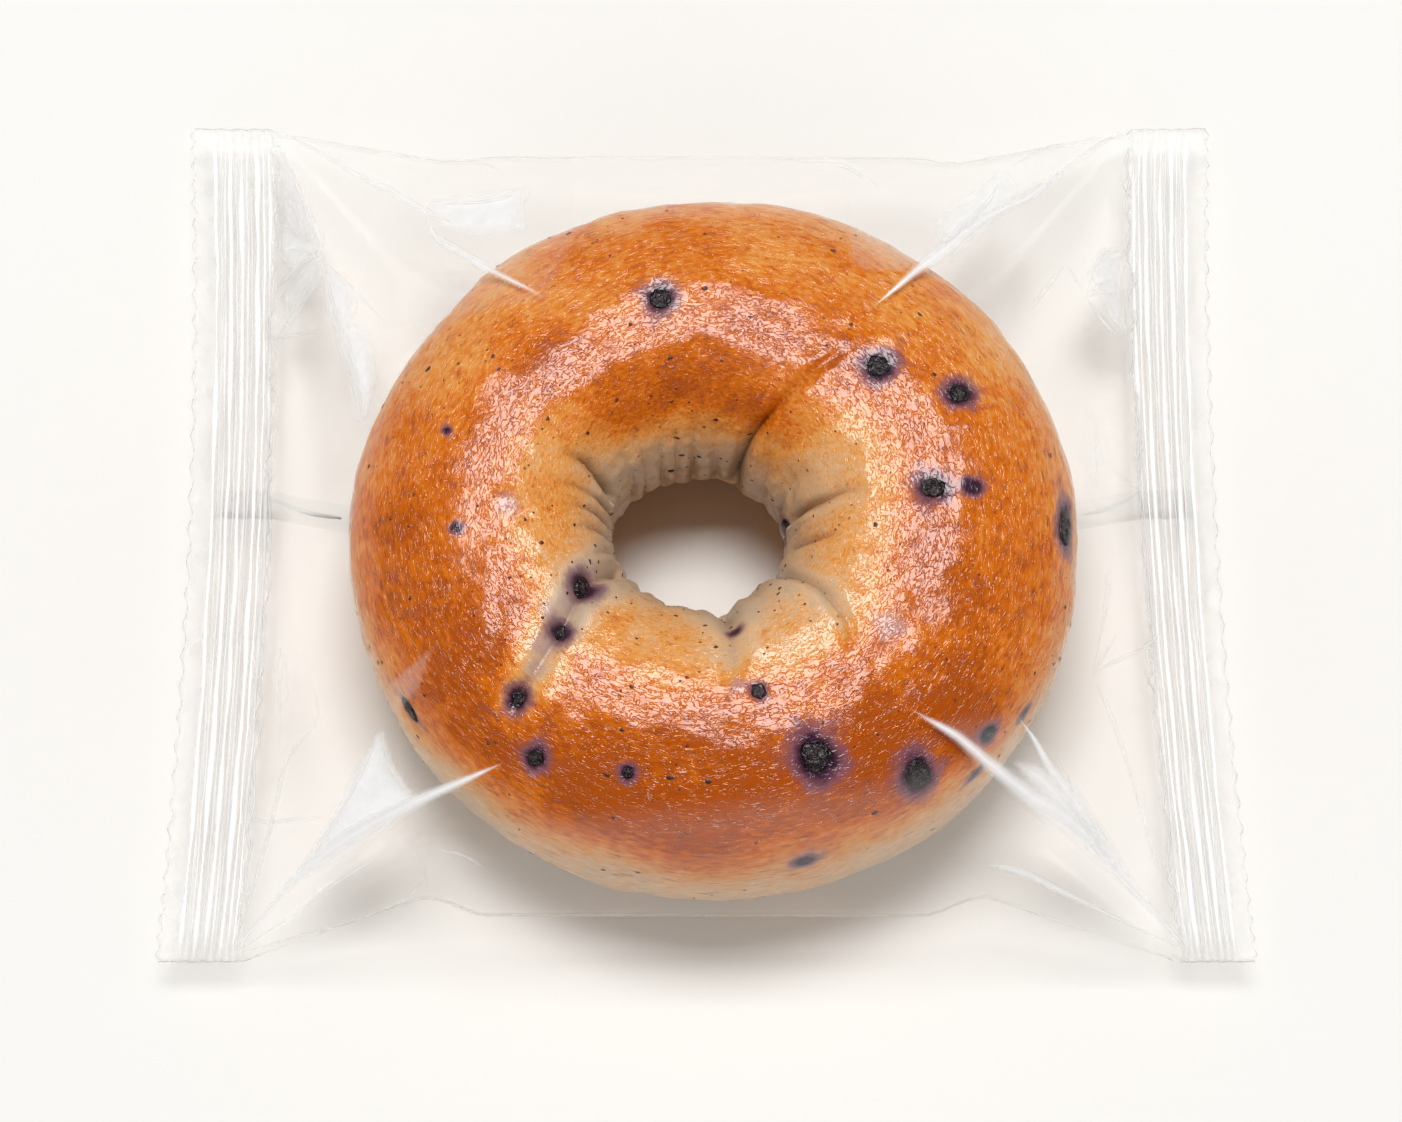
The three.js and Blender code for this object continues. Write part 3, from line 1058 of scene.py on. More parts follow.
@dataclass
class Specks:
    """Bits of berry skin scattered in the crust, each a small low blob."""

    bagel: Bagel
    count: int = 300
    sides: int = 8
    seed: int = 41
    smallest: float = 0.17
    spread: float = 0.27
    zones: Places = ((-25.0, 60.0), (55.0, 130.0), (120.0, 205.0))

    def build(self) -> bpy.types.Object:
        """Make all specks as one piece.

        Returns:
            The piece.
        """
        draw = np.random.default_rng(self.seed)
        points, faces = [], []
        turn = np.linspace(0.0, 2.0 * math.pi, self.sides, endpoint=False)
        for _ in range(self.count):
            ring = draw.uniform(0.0, 360.0)
            section = draw.choice([draw.uniform(low, high) for low, high in self.zones])
            size = self.smallest + self.spread * draw.random() ** 3.0
            stretch = draw.uniform(1.0, 1.9 if section < 60.0 else 1.5)
            place, normal, along = self.bagel.on_crust(ring, section)
            across = np.cross(normal, along)
            edge = size * draw.uniform(0.6, 1.25, self.sides)
            base = len(points)
            points.append(place + normal * 0.10)
            for share, rise in ((0.6, 0.07), (1.0, -0.05)):
                for k in range(self.sides):
                    run = along * math.cos(turn[k]) * stretch + across * math.sin(turn[k])
                    points.append(place + run * edge[k] * share + normal * rise)
            for k in range(self.sides):
                step = (k + 1) % self.sides
                inner, outer = base + 1, base + 1 + self.sides
                faces.append((base, inner + k, inner + step))
                faces.append((inner + k, outer + k, outer + step, inner + step))
        made = make_piece("specks", np.array(points), faces, SpeckFinish().material())
        return made


# ------------------------------------------------------------------ the film


@dataclass(frozen=True)
class Fold:
    """A tension fold of the film: a ridge along a line, with a painted highlight along part of it.

    The line is in plan. Height and width are at the fold's widest place, which is a share
    along it; band is half the width of its painted highlight there.
    """

    line: Places
    height: float = 1.0
    width: float = 3.0
    painted_highlight: float = 0.0
    band: float = 0.5
    widest: float = 0.5

    def taper(self, share: Array) -> Array:
        """Give how wide it is at shares along it: 0 at its ends and 1 at its widest."""
        bent = np.clip(share, 0.0, 1.0) ** (math.log(0.5) / math.log(self.widest))
        return np.sin(math.pi * np.clip(bent, 0.0, 1.0))

    def painted_streak(self) -> "PaintedStreak":
        """Give the painted highlight along its ridge.

        Returns:
            A painted highlight as wide as the fold's band.
        """
        line = curved(tuple((x, y, 0.0) for x, y in self.line))
        run = np.concatenate([[0.0], np.cumsum(np.linalg.norm(np.diff(line, axis=0), axis=1))])
        line[:, 2] = self.band * 1.3 * self.taper(run / run[-1]) + 0.08
        return PaintedStreak(tuple(tuple(spot) for spot in line[::3].tolist()), self.painted_highlight)


@dataclass(frozen=True)
class Pane:
    """A flat part of the film, between folds, with painted reflection: milky film and a pale painted
    highlight.
    """

    corners: Places
    haze_and_painted_reflection: float
    soft: float = 1.0
    painted_reflection: float = 0.0


# tension folds: line, height, width, painted highlight strength, its half width, share of the widest place
FOLDS = (
    # right side, towards the front
    Fold(
        ((68, -64), (59.6, -56.5), (51.5, -49.5), (40, -43.8), (28.3, -37.7)),
        1.7, 5.0, 0.0, 2.1, 0.42,
    ),
    Fold(
        ((62, -59), (55.5, -52.5), (51.5, -46.6), (48.3, -43), (43.1, -36.4)),
        1.1, 3.6, 0.0, 1.5, 0.35,
    ),
    Fold(((51.5, -46.6), (50.7, -43.9), (48.9, -40.8)), 0.3, 1.2, 0.0, 0.35, 0.2),
    Fold(
        ((68, -64), (57.6, -60.9), (50.7, -58.7), (43.3, -56.4), (37.5, -56.1)),
        0.9, 2.6, 0.8, 0.5, 0.7,
    ),
    Fold(
        ((68, -63.5), (64.5, -54.8), (62.3, -48.4), (60.3, -41.8), (57.9, -35.3), (54.6, -28.5)),
        1.0, 3.0, 0.45, 0.35, 0.8,
    ),
    Fold(((54.6, -28.8), (57, -18), (58, -11)), 0.8, 2.8, 0.3, 0.5, 0.8),
    Fold(((54.6, -28.8), (64, -20)), 0.5, 1.6, 0.3, 0.3),
    Fold(((54.6, -28.8), (59, -20.5)), 0.4, 1.5, 0.25, 0.3),
    # left side, towards the front
    Fold(((-66.5, -64.5), (-57.6, -56.4), (-50.7, -48.5), (-44.9, -38.5)), 1.3, 3.4, 0.0, 0.55, 0.55),
    Fold(
        ((-60, -59), (-54.5, -54.1), (-46.5, -50.5), (-39.9, -48.2), (-34, -46.5),
         (-27.2, -44.4)),
        1.6, 4.4, 0.0, 1.7, 0.5,
    ),
    Fold(((-44.9, -38.5), (-43.4, -43), (-39.9, -48.2)), 0.6, 1.8, 0.5, 0.5, 0.7),
    Fold(((-66.5, -64.5), (-59, -61.2), (-52.2, -57.7), (-44, -53.8)), 0.6, 2.0, 0.35, 0.3, 0.6),
    Fold(((-66.5, -64.5), (-45.1, -60.7), (-37.6, -57)), 0.5, 1.8, 0.3, 0.3, 0.6),
    Fold(
        ((-66.5, -64), (-63.2, -55), (-60.7, -47.2), (-58.6, -39), (-54.1, -34.6), (-55, -29)),
        1.0, 2.8, 0.35, 0.35, 0.5,
    ),
    Fold(((-64.3, -45), (-60.7, -47.2), (-52.2, -48.3)), 0.4, 1.5, 0.3, 0.25, 0.4),
    Fold(((-38, -54), (-33, -55.2), (-29.1, -57.7)), 0.5, 1.6, 0.35, 0.3),
    Fold(((-38, -59.4), (-38.6, -56), (-38, -54)), 0.5, 1.4, 0.2, 0.3),
    # left side, towards the back
    Fold(
        ((-65.5, 66), (-53.7, 54.9), (-46, 48.2), (-42.4, 44.9), (-35.5, 39.6)),
        1.1, 3.0, 0.8, 0.6, 0.6,
    ),
    Fold(
        ((-40.5, 41.9), (-38.6, 37.6), (-34.5, 33.8), (-30.5, 29.9), (-21.7, 23)),
        0.8, 3.0, 0.8, 0.7, 0.45,
    ),
    Fold(((-38.9, 44.5), (-31.1, 44.1), (-25, 45.8)), 0.5, 1.8, 0.6, 0.5, 0.5),
    Fold(((-25, 45.8), (-26.4, 42), (-27.1, 39.4)), 0.4, 1.4, 0.3, 0.4),
    Fold(((-46.8, 57), (-33.5, 53.8), (-28.2, 49)), 0.5, 1.8, 0.15, 0.3),
    Fold(((-65.5, 64.6), (-61.9, 56), (-58.9, 47.2), (-55.8, 38)), 1.5, 3.4, 0.7, 0.45, 0.6),
    Fold(((-63.5, 56), (-61, 47), (-58, 40.5)), 0.5, 2.0, 0.7, 0.9, 0.5),
    Fold(((-55.8, 38), (-55, 34), (-51.7, 20.7), (-49.6, 14.8), (-48.1, 6.4)), 1.1, 3.4, 0.6, 0.8, 0.6),
    Fold(((-63.6, 42.8), (-59.8, 41.5), (-55.8, 38)), 0.5, 1.4, 0.5, 0.35),
    Fold(((-63.3, 36.6), (-59, 39.6), (-55.8, 38)), 0.6, 1.8, 0.6, 0.8, 0.4),
    Fold(((-63.4, 28.4), (-59, 34), (-55.8, 38)), 0.5, 1.5, 0.3, 0.3),
    Fold(((-63.2, 28.2), (-59.2, 27.4), (-56.3, 25.6)), 0.5, 1.5, 0.5, 0.3, 0.4),
    Fold(((-55.8, 38), (-50, 30), (-45.7, 23.7)), 0.4, 2.0, 0.2, 0.3),
    # right side, towards the back
    Fold(((64.9, 66.3), (48.7, 47.9), (39.1, 39.3), (33, 31.9), (24.1, 22)), 1.8, 5.2, 0.0, 2.0, 0.66),
    Fold(((64.9, 66.3), (52, 51.9), (44.3, 44.0), (37, 36.5)), 0.3, 2.0, 0.8, 0.6, 0.6),
    Fold(((43.9, 50), (41.9, 45.4), (36, 36.3)), 0.7, 2.4, 0.0, 0.8, 0.7),
    Fold(((64.9, 66.3), (51.9, 59.1), (44.8, 52.6)), 0.6, 2.0, 0.3, 0.3),
    Fold(((64.9, 66.3), (53, 61), (45, 57.6)), 0.4, 1.5, 0.3, 0.3),
    Fold(((8, 55.2), (20.3, 52.4), (23.4, 49.1), (26.3, 46)), 0.6, 1.8, 0.5, 0.35, 0.6),
    Fold(((47, 25.5), (49.3, 29.6), (53.1, 35.8)), 0.6, 1.8, 0.4, 0.35),
    Fold(((53.1, 35.8), (55, 33), (56.1, 31)), 0.5, 1.4, 0.5, 0.3),
    Fold(((56.1, 31), (57.2, 35.5), (59.5, 40.5), (63.6, 42.2)), 0.7, 1.8, 0.7, 0.5, 0.6),
    Fold(((56.1, 31), (59.5, 33.8), (62.7, 34.3)), 0.4, 1.3, 0.5, 0.3),
    Fold(((56.1, 31), (58.6, 34.6), (61.4, 36.5)), 0.4, 1.3, 0.5, 0.4),
    Fold(((56.1, 31), (58.2, 28.6), (60.5, 27.4), (62.9, 27.2)), 0.7, 1.8, 0.8, 0.5, 0.5),
    Fold(((63.8, 4), (58.2, 5.2)), 0.4, 1.4, 0.35, 0.3),
    Fold(((63.8, 4), (58.5, -1.5), (53.6, -5.5)), 0.4, 1.4, 0.15, 0.2),
    Fold(((-63.8, 4), (-57, -2), (-50, -6.6)), 0.4, 1.4, 0.12, 0.2),
)

# panes: corners, milky film standing for painted reflection, soft edge, painted highlight strength
PANES = (
    Pane(((-55, -54.4), (-44.8, -38.4), (-43.4, -43), (-39.4, -48.6), (-46, -50.8)), 0.10, 1.2, 0.9),
    Pane(((50.5, -48.5), (43.6, -37.6), (34, -39.5), (45, -46.5)), 0.10, 2.0),
    Pane(
        ((-42, -54), (-25.8, -52.2), (-14, -52.4), (-0.4, -52), (20, -48.8), (41, -42.8),
         (47, -60), (0, -66), (-45, -60)),
        0.07, 2.2,
    ),
    Pane(((-18.4, 35.5), (-22.4, 23.2), (-52, 22), (-44, 62), (-20, 62)), 0.06, 0.5),
    Pane(((21.2, 37.8), (21.3, 30.5), (23, 28.8), (28.5, 29.2), (60, 62), (21, 62)), 0.10, 0.4),
    Pane(((-37.6, -28.6), (-43.2, -31.9), (-42.5, -36.2), (-39.3, -33.2)), 0.14, 0.5),
    Pane(
        ((-40, 44.5), (-34.3, 45.4), (-27, 45.7), (-26.5, 38), (-32.5, 37.5), (-37.4, 40.5)),
        0.03, 1.8, 0.8,
    ),
    Pane(((-64.4, 61.5), (-60.6, 52), (-56.8, 41.8), (-59.6, 44), (-62.5, 52.5)), 0.03, 1.2, 0.95),
    Pane(((-63.4, 47.5), (-56.8, 40.6), (-60.4, 38.6), (-62.4, 42)), 0.03, 1.2, 0.85),
    Pane(((-60.1, 37.2), (-56.2, 38.8), (-56.5, 34.5), (-61.3, 29.8), (-62.2, 35)), 0.03, 1.4, 0.55),
    Pane(((-55.3, 36.7), (-51.7, 31.4), (-50.9, 27.8), (-52.5, 24.9), (-54.2, 28.8)), 0.03, 1.4, 1.0),
    Pane(((-51.4, 24.5), (-48.4, 21.8), (-47.4, 14.5), (-48.6, 8.6), (-50.3, 15.8)), 0.03, 1.3, 1.0),
    Pane(
        ((44.3, 51.5), (45.9, 47.8), (41.5, 41.4), (35.5, 33.4), (34.7, 39.8), (40.2, 46.5)),
        0.03, 2.0, 0.8,
    ),
    Pane(
        ((57.2, 35.2), (59.9, 40.4), (63, 42.5), (61.4, 37.8), (62.2, 29.5), (59.7, 31.2)),
        0.03, 1.3, 0.85,
    ),
    Pane(((56.8, 11.2), (58.2, 5.4), (55.9, -2), (54.6, 3.5)), 0.02, 2.4, 0.3),
    Pane(((-60.3, -15.6), (-58.4, -28.5), (-60.0, -36.7), (-61.8, -24.1)), 0.02, 2.0, 0.3),
)


@dataclass(frozen=True)
class PaintedStreak:
    """A painted highlight along a fold: places in plan with half widths, and how strong."""

    path: tuple[tuple[float, float, float], ...]
    strength: float = 1.0


# painted highlights along the main folds
PAINTED_STREAKS = (
    PaintedStreak(
        ((68.2, -63.8, 0.2), (59.6, -56.5, 1.2), (55.5, -52.5, 2.3), (50.8, -49.4, 2.4),
         (45.6, -47.2, 2.1), (40, -43.9, 1.7), (35, -40.7, 1.15), (31.2, -39.1, 0.6),
         (28.3, -37.7, 0.05)),
    ),
    PaintedStreak(
        ((58, -55, 0.8), (55.2, -51.4, 1.8), (51.8, -46.9, 1.7), (48.3, -43, 1.2),
         (45.6, -39.1, 0.6), (43.1, -36.4, 0.05)),
        0.95,
    ),
    PaintedStreak(((56.5, -53.5, 0.7), (51.8, -49, 2.8), (46.8, -44.6, 2.6), (42.5, -42.6, 0.8)), 0.8),
    PaintedStreak(((51.5, -46.6, 0.5), (50.7, -43.9, 0.3), (48.9, -40.8, 0.1)), 0.6),
    PaintedStreak(
        ((-66.5, -64.5, 0.1), (-57.6, -56.4, 0.8), (-52, -52.9, 2.1), (-46.5, -50.5, 2.2),
         (-39.9, -48.2, 1.5), (-34, -46.5, 0.95), (-30.4, -45.4, 0.5), (-27.2, -44.4, 0.05)),
    ),
    PaintedStreak(((-56.5, -55.4, 0.3), (-50.7, -48.5, 0.6), (-47.4, -43.1, 0.6), (-44.9, -38.3, 0.1)), 0.8),
    PaintedStreak(
        ((64.9, 66.6, 0.1), (55.5, 56.2, 0.4), (48.7, 47.9, 0.8), (44.3, 44.2, 1.0),
         (39.1, 39.3, 1.5), (34.8, 33.9, 1.8), (31.4, 30.2, 1.2), (27.3, 25.3, 0.5),
         (24.1, 22, 0.05)),
    ),
    PaintedStreak(((43.9, 50, 0.1), (41.9, 45.4, 0.6), (38, 39.5, 1.0), (34, 34, 0.3)), 0.7),
)


# painted highlights on the seals' ribs: place from the seal's inner line, half width, strength
PAINTED_RIB_HIGHLIGHTS = (
    (-0.5, 0.30, 0.8),
    (0.45, 0.42, 1.0),
    (1.35, 0.26, 0.8),
    (2.3, 0.50, 1.0),
    (3.15, 0.26, 0.7),
    (3.75, 0.20, 0.6),
    (4.5, 0.46, 1.0),
    (5.3, 0.26, 0.8),
    (6.2, 0.50, 1.0),
    (6.95, 0.26, 0.7),
    (7.6, 0.22, 0.6),
    (8.3, 0.46, 1.0),
)


@dataclass
class Film:
    """The bag's film: one closed tube of clear sheet, crimped flat at both ends.

    The sizes are those of the solid that it stands for. Station is a place across the bag
    from seal to seal, and row a place along the seals.
    """

    bagel: Bagel
    bag_length: float = 155.0
    seal_length: float = 131.0
    seal_width: float = 11.9
    seal_height: float = 6.0
    seal_bow: float = 2.1
    left_inner: tuple[float, float] = (0.4, 0.0)
    left_cut: tuple[float, float] = (-0.1, 0.6)
    right_inner: tuple[float, float] = (2.4, -0.6)
    right_cut: tuple[float, float] = (0.8, -0.4)
    rib_pitch: float = 2.45
    rib_count: float = 3.5
    rib_depth: float = 0.16
    scallops: int = 33
    scallop_depth: float = 0.6
    side_straight: float = 30.0
    waist_x: float = 39.0
    far_side: float = 57.3
    far_waist: float = 56.0
    near_side: float = 61.6
    near_waist: float = 59.5
    side_round: float = 2.6
    side_drop: float = 1.6
    side_rise: float = 15.0
    flat_half: float = 40.0
    dimple_depth: float = 5.0
    dimple_radius: float = 22.0
    fin_y: float = 4.0
    fin_width: float = 5.0
    fin_inner: float = 44.0
    fin_depths: tuple[float, float] = (0.10, 0.25)
    clearance: float = 0.35
    over_crust: float = 0.22
    under_crust: float = 0.10
    over_table: float = 0.03
    sheet_gap: float = 0.10
    rows: int = 264
    body_columns: int = 204
    rib_columns: int = 24
    margin_columns: int = 6

    @property
    def seal_half(self) -> float:
        """Half the length of a seal."""
        return self.seal_length / 2.0

    @property
    def cut_x(self) -> float:
        """Distance of the cut ends from the middle."""
        return self.bag_length / 2.0

    @property
    def seal_x(self) -> float:
        """Distance of the seals' inner lines from the middle."""
        return self.cut_x - self.seal_width

    @property
    def ribs_end(self) -> float:
        """Distance of the last rib from the middle."""
        return self.seal_x + self.rib_count * self.rib_pitch

    def bow(self, y: Array) -> Array:
        """Give how far a seal is drawn in towards the bagel."""
        return self.seal_bow * (1.0 - (y / self.seal_half) ** 2)

    def place_x(self, station: Array, y: Array) -> Array:
        """Give where stations lie, with the seals' bow and lean drawn into them.

        Args:
            station: Stations, negative on the left.
            y: Places along the seals.

        Returns:
            X at each station.
        """
        away = np.abs(station)
        across = np.clip((y / self.seal_half + 1.0) / 2.0, 0.0, 1.0)
        left = station < 0.0
        inner = np.where(left, lerp(*self.left_inner, across), lerp(*self.right_inner, across))
        cut = np.where(left, lerp(*self.left_cut, across), lerp(*self.right_cut, across))
        shift = lerp(inner, cut, np.clip((away - self.seal_x) / self.seal_width, 0.0, 1.0)) - self.bow(y)
        return np.sign(station) * (away + shift * np.minimum(1.0, (away / self.seal_x) ** 2))

    def side(self, away: Array, straight: float, waist: float) -> Array:
        """Give the outline of a long side, as a distance from the middle line.

        Args:
            away: Distances from the bag's middle, towards a seal.
            straight: The outline's distance beside the bagel.
            waist: Its distance at the waist, where the film is drawn in most.

        Returns:
            The outline's distances.
        """
        drawn = smooth((away - self.side_straight) / (self.waist_x - self.side_straight))
        flared = np.clip((away - self.waist_x) / (self.seal_x - self.waist_x), 0.0, 1.0)
        inner = lerp(straight, waist, drawn)
        return np.where(away <= self.waist_x, inner, lerp(waist, self.seal_half, flared))

    def stations(self) -> Array:
        """Give the stations of the upper sheet's columns.

        Returns:
            Stations from left to right.
        """
        body = np.linspace(0.0, self.seal_x, self.body_columns // 2 + 1)
        ribs = np.linspace(self.seal_x, self.ribs_end, self.rib_columns + 1)[1:]
        margin = np.linspace(self.ribs_end, self.cut_x, self.margin_columns + 1)[1:]
        half = np.concatenate([body[1:], ribs, margin])
        return np.concatenate([-half[::-1], [0.0], half])

    def plan(self, station: Array, row: Array) -> tuple[Array, Array, Array, Array]:
        """Place stations and rows in plan.

        Args:
            station: Stations of the grid.
            row: Row numbers of the grid.

        Returns:
            X, y, and the two long sides' y at each place.
        """
        away = np.abs(station)
        far = self.side(away, self.far_side, self.far_waist)
        near = -self.side(away, self.near_side, self.near_waist)
        t = row / self.rows * 2.0 - 1.0
        y = lerp(near, far, (0.55 * t + 0.45 * np.sin(math.pi / 2.0 * t) + 1.0) / 2.0)
        notch = np.abs(np.cos(math.pi * row * self.scallops / self.rows)) ** 1.5
        margin = np.clip((away - self.ribs_end) / (self.cut_x - self.ribs_end), 0.0, 1.0)
        pulled = self.scallop_depth * notch * margin
        uneven = Ripple(5.0, 21).at(np.stack([y, np.sign(station) * 40.0], -1))
        pucker = 0.35 * uneven * bell(away - self.seal_x, 1.6)
        return self.place_x(np.sign(station) * (away - pulled + pucker), y), y, far, near

    def planes(self) -> tuple[Array, Array]:
        """Work out the taut skin over the bagel and the seals.

        Returns:
            Normals and offsets of the planes that bound it from above.
        """
        around = np.linspace(0.0, 2.0 * math.pi, 160, endpoint=False)
        section = np.radians(np.linspace(0.0, 108.0, 22))
        ring, section = np.meshgrid(around, section, indexing="ij")
        dome = self.bagel.form.point(ring, section).reshape(-1, 3)
        y = np.linspace(-self.seal_half, self.seal_half, 61)
        ends = [self.place_x(end * self.seal_x + 0.0 * y, y) for end in (-1.0, 1.0)]
        seals = [np.stack([x, y, 0.0 * y + self.seal_height], -1) for x in ends]
        work = bmesh.new()
        for spot in np.vstack([dome, *seals]):
            work.verts.new(spot)
        bmesh.ops.convex_hull(work, input=work.verts)
        work.normal_update()
        upper = [face for face in work.faces if face.normal.z > 0.02]
        normals = np.array([face.normal[:] for face in upper])
        offsets = np.array([face.normal.dot(face.verts[0].co) for face in upper])
        work.free()
        return normals, offsets

    def taut(self, planes: tuple[Array, Array], x: Array, y: Array) -> Array:
        """Give the height of the taut skin over places in plan.

        Args:
            planes: Normals and offsets of the planes that bound the skin.
            x: Places across the bag.
            y: Places along the seals.

        Returns:
            The skin's heights.
        """
        normals, offsets = planes
        flat_x, flat_y = x.ravel(), y.ravel()
        height = np.empty(flat_x.shape)
        for start in range(0, len(flat_x), 4000):
            part = slice(start, start + 4000)
            run = np.outer(flat_x[part], normals[:, 0]) + np.outer(flat_y[part], normals[:, 1])
            height[part] = ((offsets - run) / normals[:, 2]).min(axis=1)
        return height.reshape(x.shape)

    @staticmethod
    def near_line(x: Array, y: Array, line: Places) -> tuple[Array, Array]:
        """Give distances in plan from a line, and shares along it.

        Args:
            x: Places across the bag.
            y: Places along the seals.
            line: The line's own places.

        Returns:
            Distances and shares.
        """
        lengths = [math.dist(line[k], line[k + 1]) for k in range(len(line) - 1)]
        total, run = sum(lengths), 0.0
        away = np.full(x.shape, np.inf)
        share = np.zeros(x.shape)
        for (ax, ay), (bx, by), length in zip(line, line[1:], lengths):
            part = np.clip(((x - ax) * (bx - ax) + (y - ay) * (by - ay)) / length ** 2, 0.0, 1.0)
            gap = np.hypot(x - ax - part * (bx - ax), y - ay - part * (by - ay))
            nearer = gap < away
            away = np.where(nearer, gap, away)
            share = np.where(nearer, (run + part * length) / total, share)
            run += length
        return away, share

    def folded(self, x: Array, y: Array) -> Array:
        """Give the height that the folds add.

        Args:
            x: Places across the bag.
            y: Places along the seals.

        Returns:
            Heights, 0 away from every fold.
        """
        height = np.zeros(x.shape)
        for fold in FOLDS:
            away, share = self.near_line(x, y, fold.line)
            taper = fold.taper(share)
            width = np.maximum(fold.width * (0.25 + 0.75 * taper), 1.3)
            height = np.maximum(height, 0.55 * fold.height * taper ** 0.7 * bell(away, 0.5 * width))
        return height

    def painted_rib_streaks(self) -> list[PaintedStreak]:
        """Give the painted highlights on the two seals' ribs.

        Returns:
            One painted highlight for each rib line of each seal.
        """
        lines = []
        for end in (-1.0, 1.0):
            for k, (place, half, strength) in enumerate(PAINTED_RIB_HIGHLIGHTS):
                y = np.linspace(-self.seal_half + 0.3, self.seal_half - 0.3, 42)
                along = np.stack([y, end * 30.0 + 0.0 * y], -1)
                amount, uneven = (0.45, Ripple(7.0, 70)) if k == 0 else (0.06, Ripple(14.0, 60 + k))
                wave = amount * uneven.at(along)
                x = self.place_x(end * (self.seal_x + place + wave), y)
                width = np.maximum(half * (1.0 + 0.3 * Ripple(20.0, 80 + k).at(along)), 0.05)
                lines.append(PaintedStreak(tuple(zip(x.tolist(), y.tolist(), width.tolist())), strength))
        return lines

    def painted_highlight_strips(self, tree: BVHTree) -> tuple[Array, list, Array]:
        """Lay every painted highlight on the upper sheet as a narrow strip that fades to its edges.

        Args:
            tree: The upper sheet, in millimetres.

        Returns:
            Vertices, faces and painted highlight of the strips.
        """
        across = np.linspace(-1.0, 1.0, 7)
        profile = bell(across, 0.5) * (1.0 - across ** 4)
        points, faces, painted_highlights, count = [], [], [], 0
        # painted highlights of the folds, the main folds and the seals' ribs
        folds = [fold.painted_streak() for fold in FOLDS if fold.painted_highlight]
        for painted_streak in [*folds, *PAINTED_STREAKS, *self.painted_rib_streaks()]:
            line = curved(painted_streak.path, 1.1)
            way = np.gradient(line[:, :2], axis=0)
            way /= np.maximum(np.linalg.norm(way, axis=1, keepdims=True), 1e-9)
            sideways = np.stack([-way[:, 1], way[:, 0]], -1)
            plan = line[:, None, :2] + sideways[:, None] * (across[None, :, None] * line[:, None, 2:])
            lift = np.full(plan.shape[:2], np.nan)
            for spot in np.ndindex(*lift.shape):
                hit = tree.ray_cast(Vector((*plan[spot], RAY_HEIGHT)), DOWN)[0]
                lift[spot] = hit.z if hit else np.nan
            plan = np.where(np.isnan(lift)[..., None], line[:, None, :2], plan)
            lift = np.where(np.isnan(lift), lift[:, 3:4], lift)
            held = ~np.isnan(lift[:, 3])
            plan, lift = plan[held], lift[held]
            for _ in range(6):
                lift = np.maximum(lift, self.softened(lift))
            lift += 0.05 + 0.012 * (len(points) % 8)
            ends = np.minimum(1.0, np.minimum(np.arange(len(lift)), np.arange(len(lift))[::-1]) / 3.0)
            points.append(np.concatenate([plan, lift[..., None]], -1).reshape(-1, 3))
            painted_highlights.append((painted_streak.strength * ends[:, None] * profile).ravel())
            number = count + np.arange(lift.size).reshape(lift.shape)
            for i in range(lift.shape[0] - 1):
                for j in range(lift.shape[1] - 1):
                    faces.append(quad(number, i, j))
            count += lift.size
        return np.vstack(points), faces, np.concatenate(painted_highlights)

    @staticmethod
    def inside(x: Array, y: Array, pane: Pane) -> Array:
        """Give how far places are inside a pane, eased over its soft edge.

        Args:
            x: Places across the bag.
            y: Places along the seals.
            pane: The pane.

        Returns:
            1 inside, 0 outside.
        """
        crossings = np.zeros(x.shape, dtype=bool)
        edge = np.full(x.shape, np.inf)
        corners = pane.corners
        for (ax, ay), (bx, by) in zip(corners, corners[1:] + corners[:1]):
            straddles = (ay > y) != (by > y)
            slope = (bx - ax) / (by - ay) if by != ay else 0.0
            crossings ^= straddles & (x < ax + (y - ay) * slope)
            length = math.dist((ax, ay), (bx, by))
            part = np.clip(((x - ax) * (bx - ax) + (y - ay) * (by - ay)) / length ** 2, 0.0, 1.0)
            edge = np.minimum(edge, np.hypot(x - ax - part * (bx - ax), y - ay - part * (by - ay)))
        signed = np.where(crossings, edge, -edge)
        return smooth(0.5 + signed / pane.soft / 2.0)

    def crumple(self, x: Array, y: Array) -> Array:
        """Give the height of small flat-sided crumples near the seals and the waists.

        Args:
            x: Places across the bag.
            y: Places along the seals.

        Returns:
            Heights above and below the skin.
        """
        draw = np.random.default_rng(77)
        spots = []
        for end in (-1.0, 1.0):
            for _ in range(150):
                inward = 16.0 * draw.random() ** 1.7
                spots.append((end * (self.seal_x - 0.6 - inward), draw.uniform(-64.0, 64.0)))
        for side in (-60.0, 57.0):
            for _ in range(70):
                spots.append((draw.uniform(-60.0, 60.0), side * (1.0 - 0.22 * draw.random() ** 1.4)))
        frame = [(-90.0, -80.0), (90.0, -80.0), (90.0, 80.0), (-90.0, 80.0)]
        plan = [Vector(spot) for spot in spots + frame]
        verts, _, faces, *_ = delaunay_2d_cdt(plan, [], [], 0, 1e-4)
        heights = np.append(draw.uniform(-1.0, 1.0, len(spots)), [0.0] * 4)
        heights = heights[:len(verts)]
        solid = [Vector((spot.x, spot.y, high)) for spot, high in zip(verts, heights)]
        tree = BVHTree.FromPolygons(solid, faces)
        result = np.zeros(x.size)
        for k, (px, py) in enumerate(zip(x.ravel(), y.ravel())):
            hit = tree.ray_cast(Vector((px, py, 9.0)), DOWN)[0]
            result[k] = hit.z if hit else 0.0
        result = result.reshape(x.shape)
        by_seal = 0.28 * np.exp(-np.maximum(self.seal_x - np.abs(x), 0.0) / 7.0)
        by_side = 0.35 * np.exp(-np.minimum(np.abs(y - 57.0), np.abs(y + 61.0)) / 6.0)
        return result * np.maximum(by_seal, by_side)

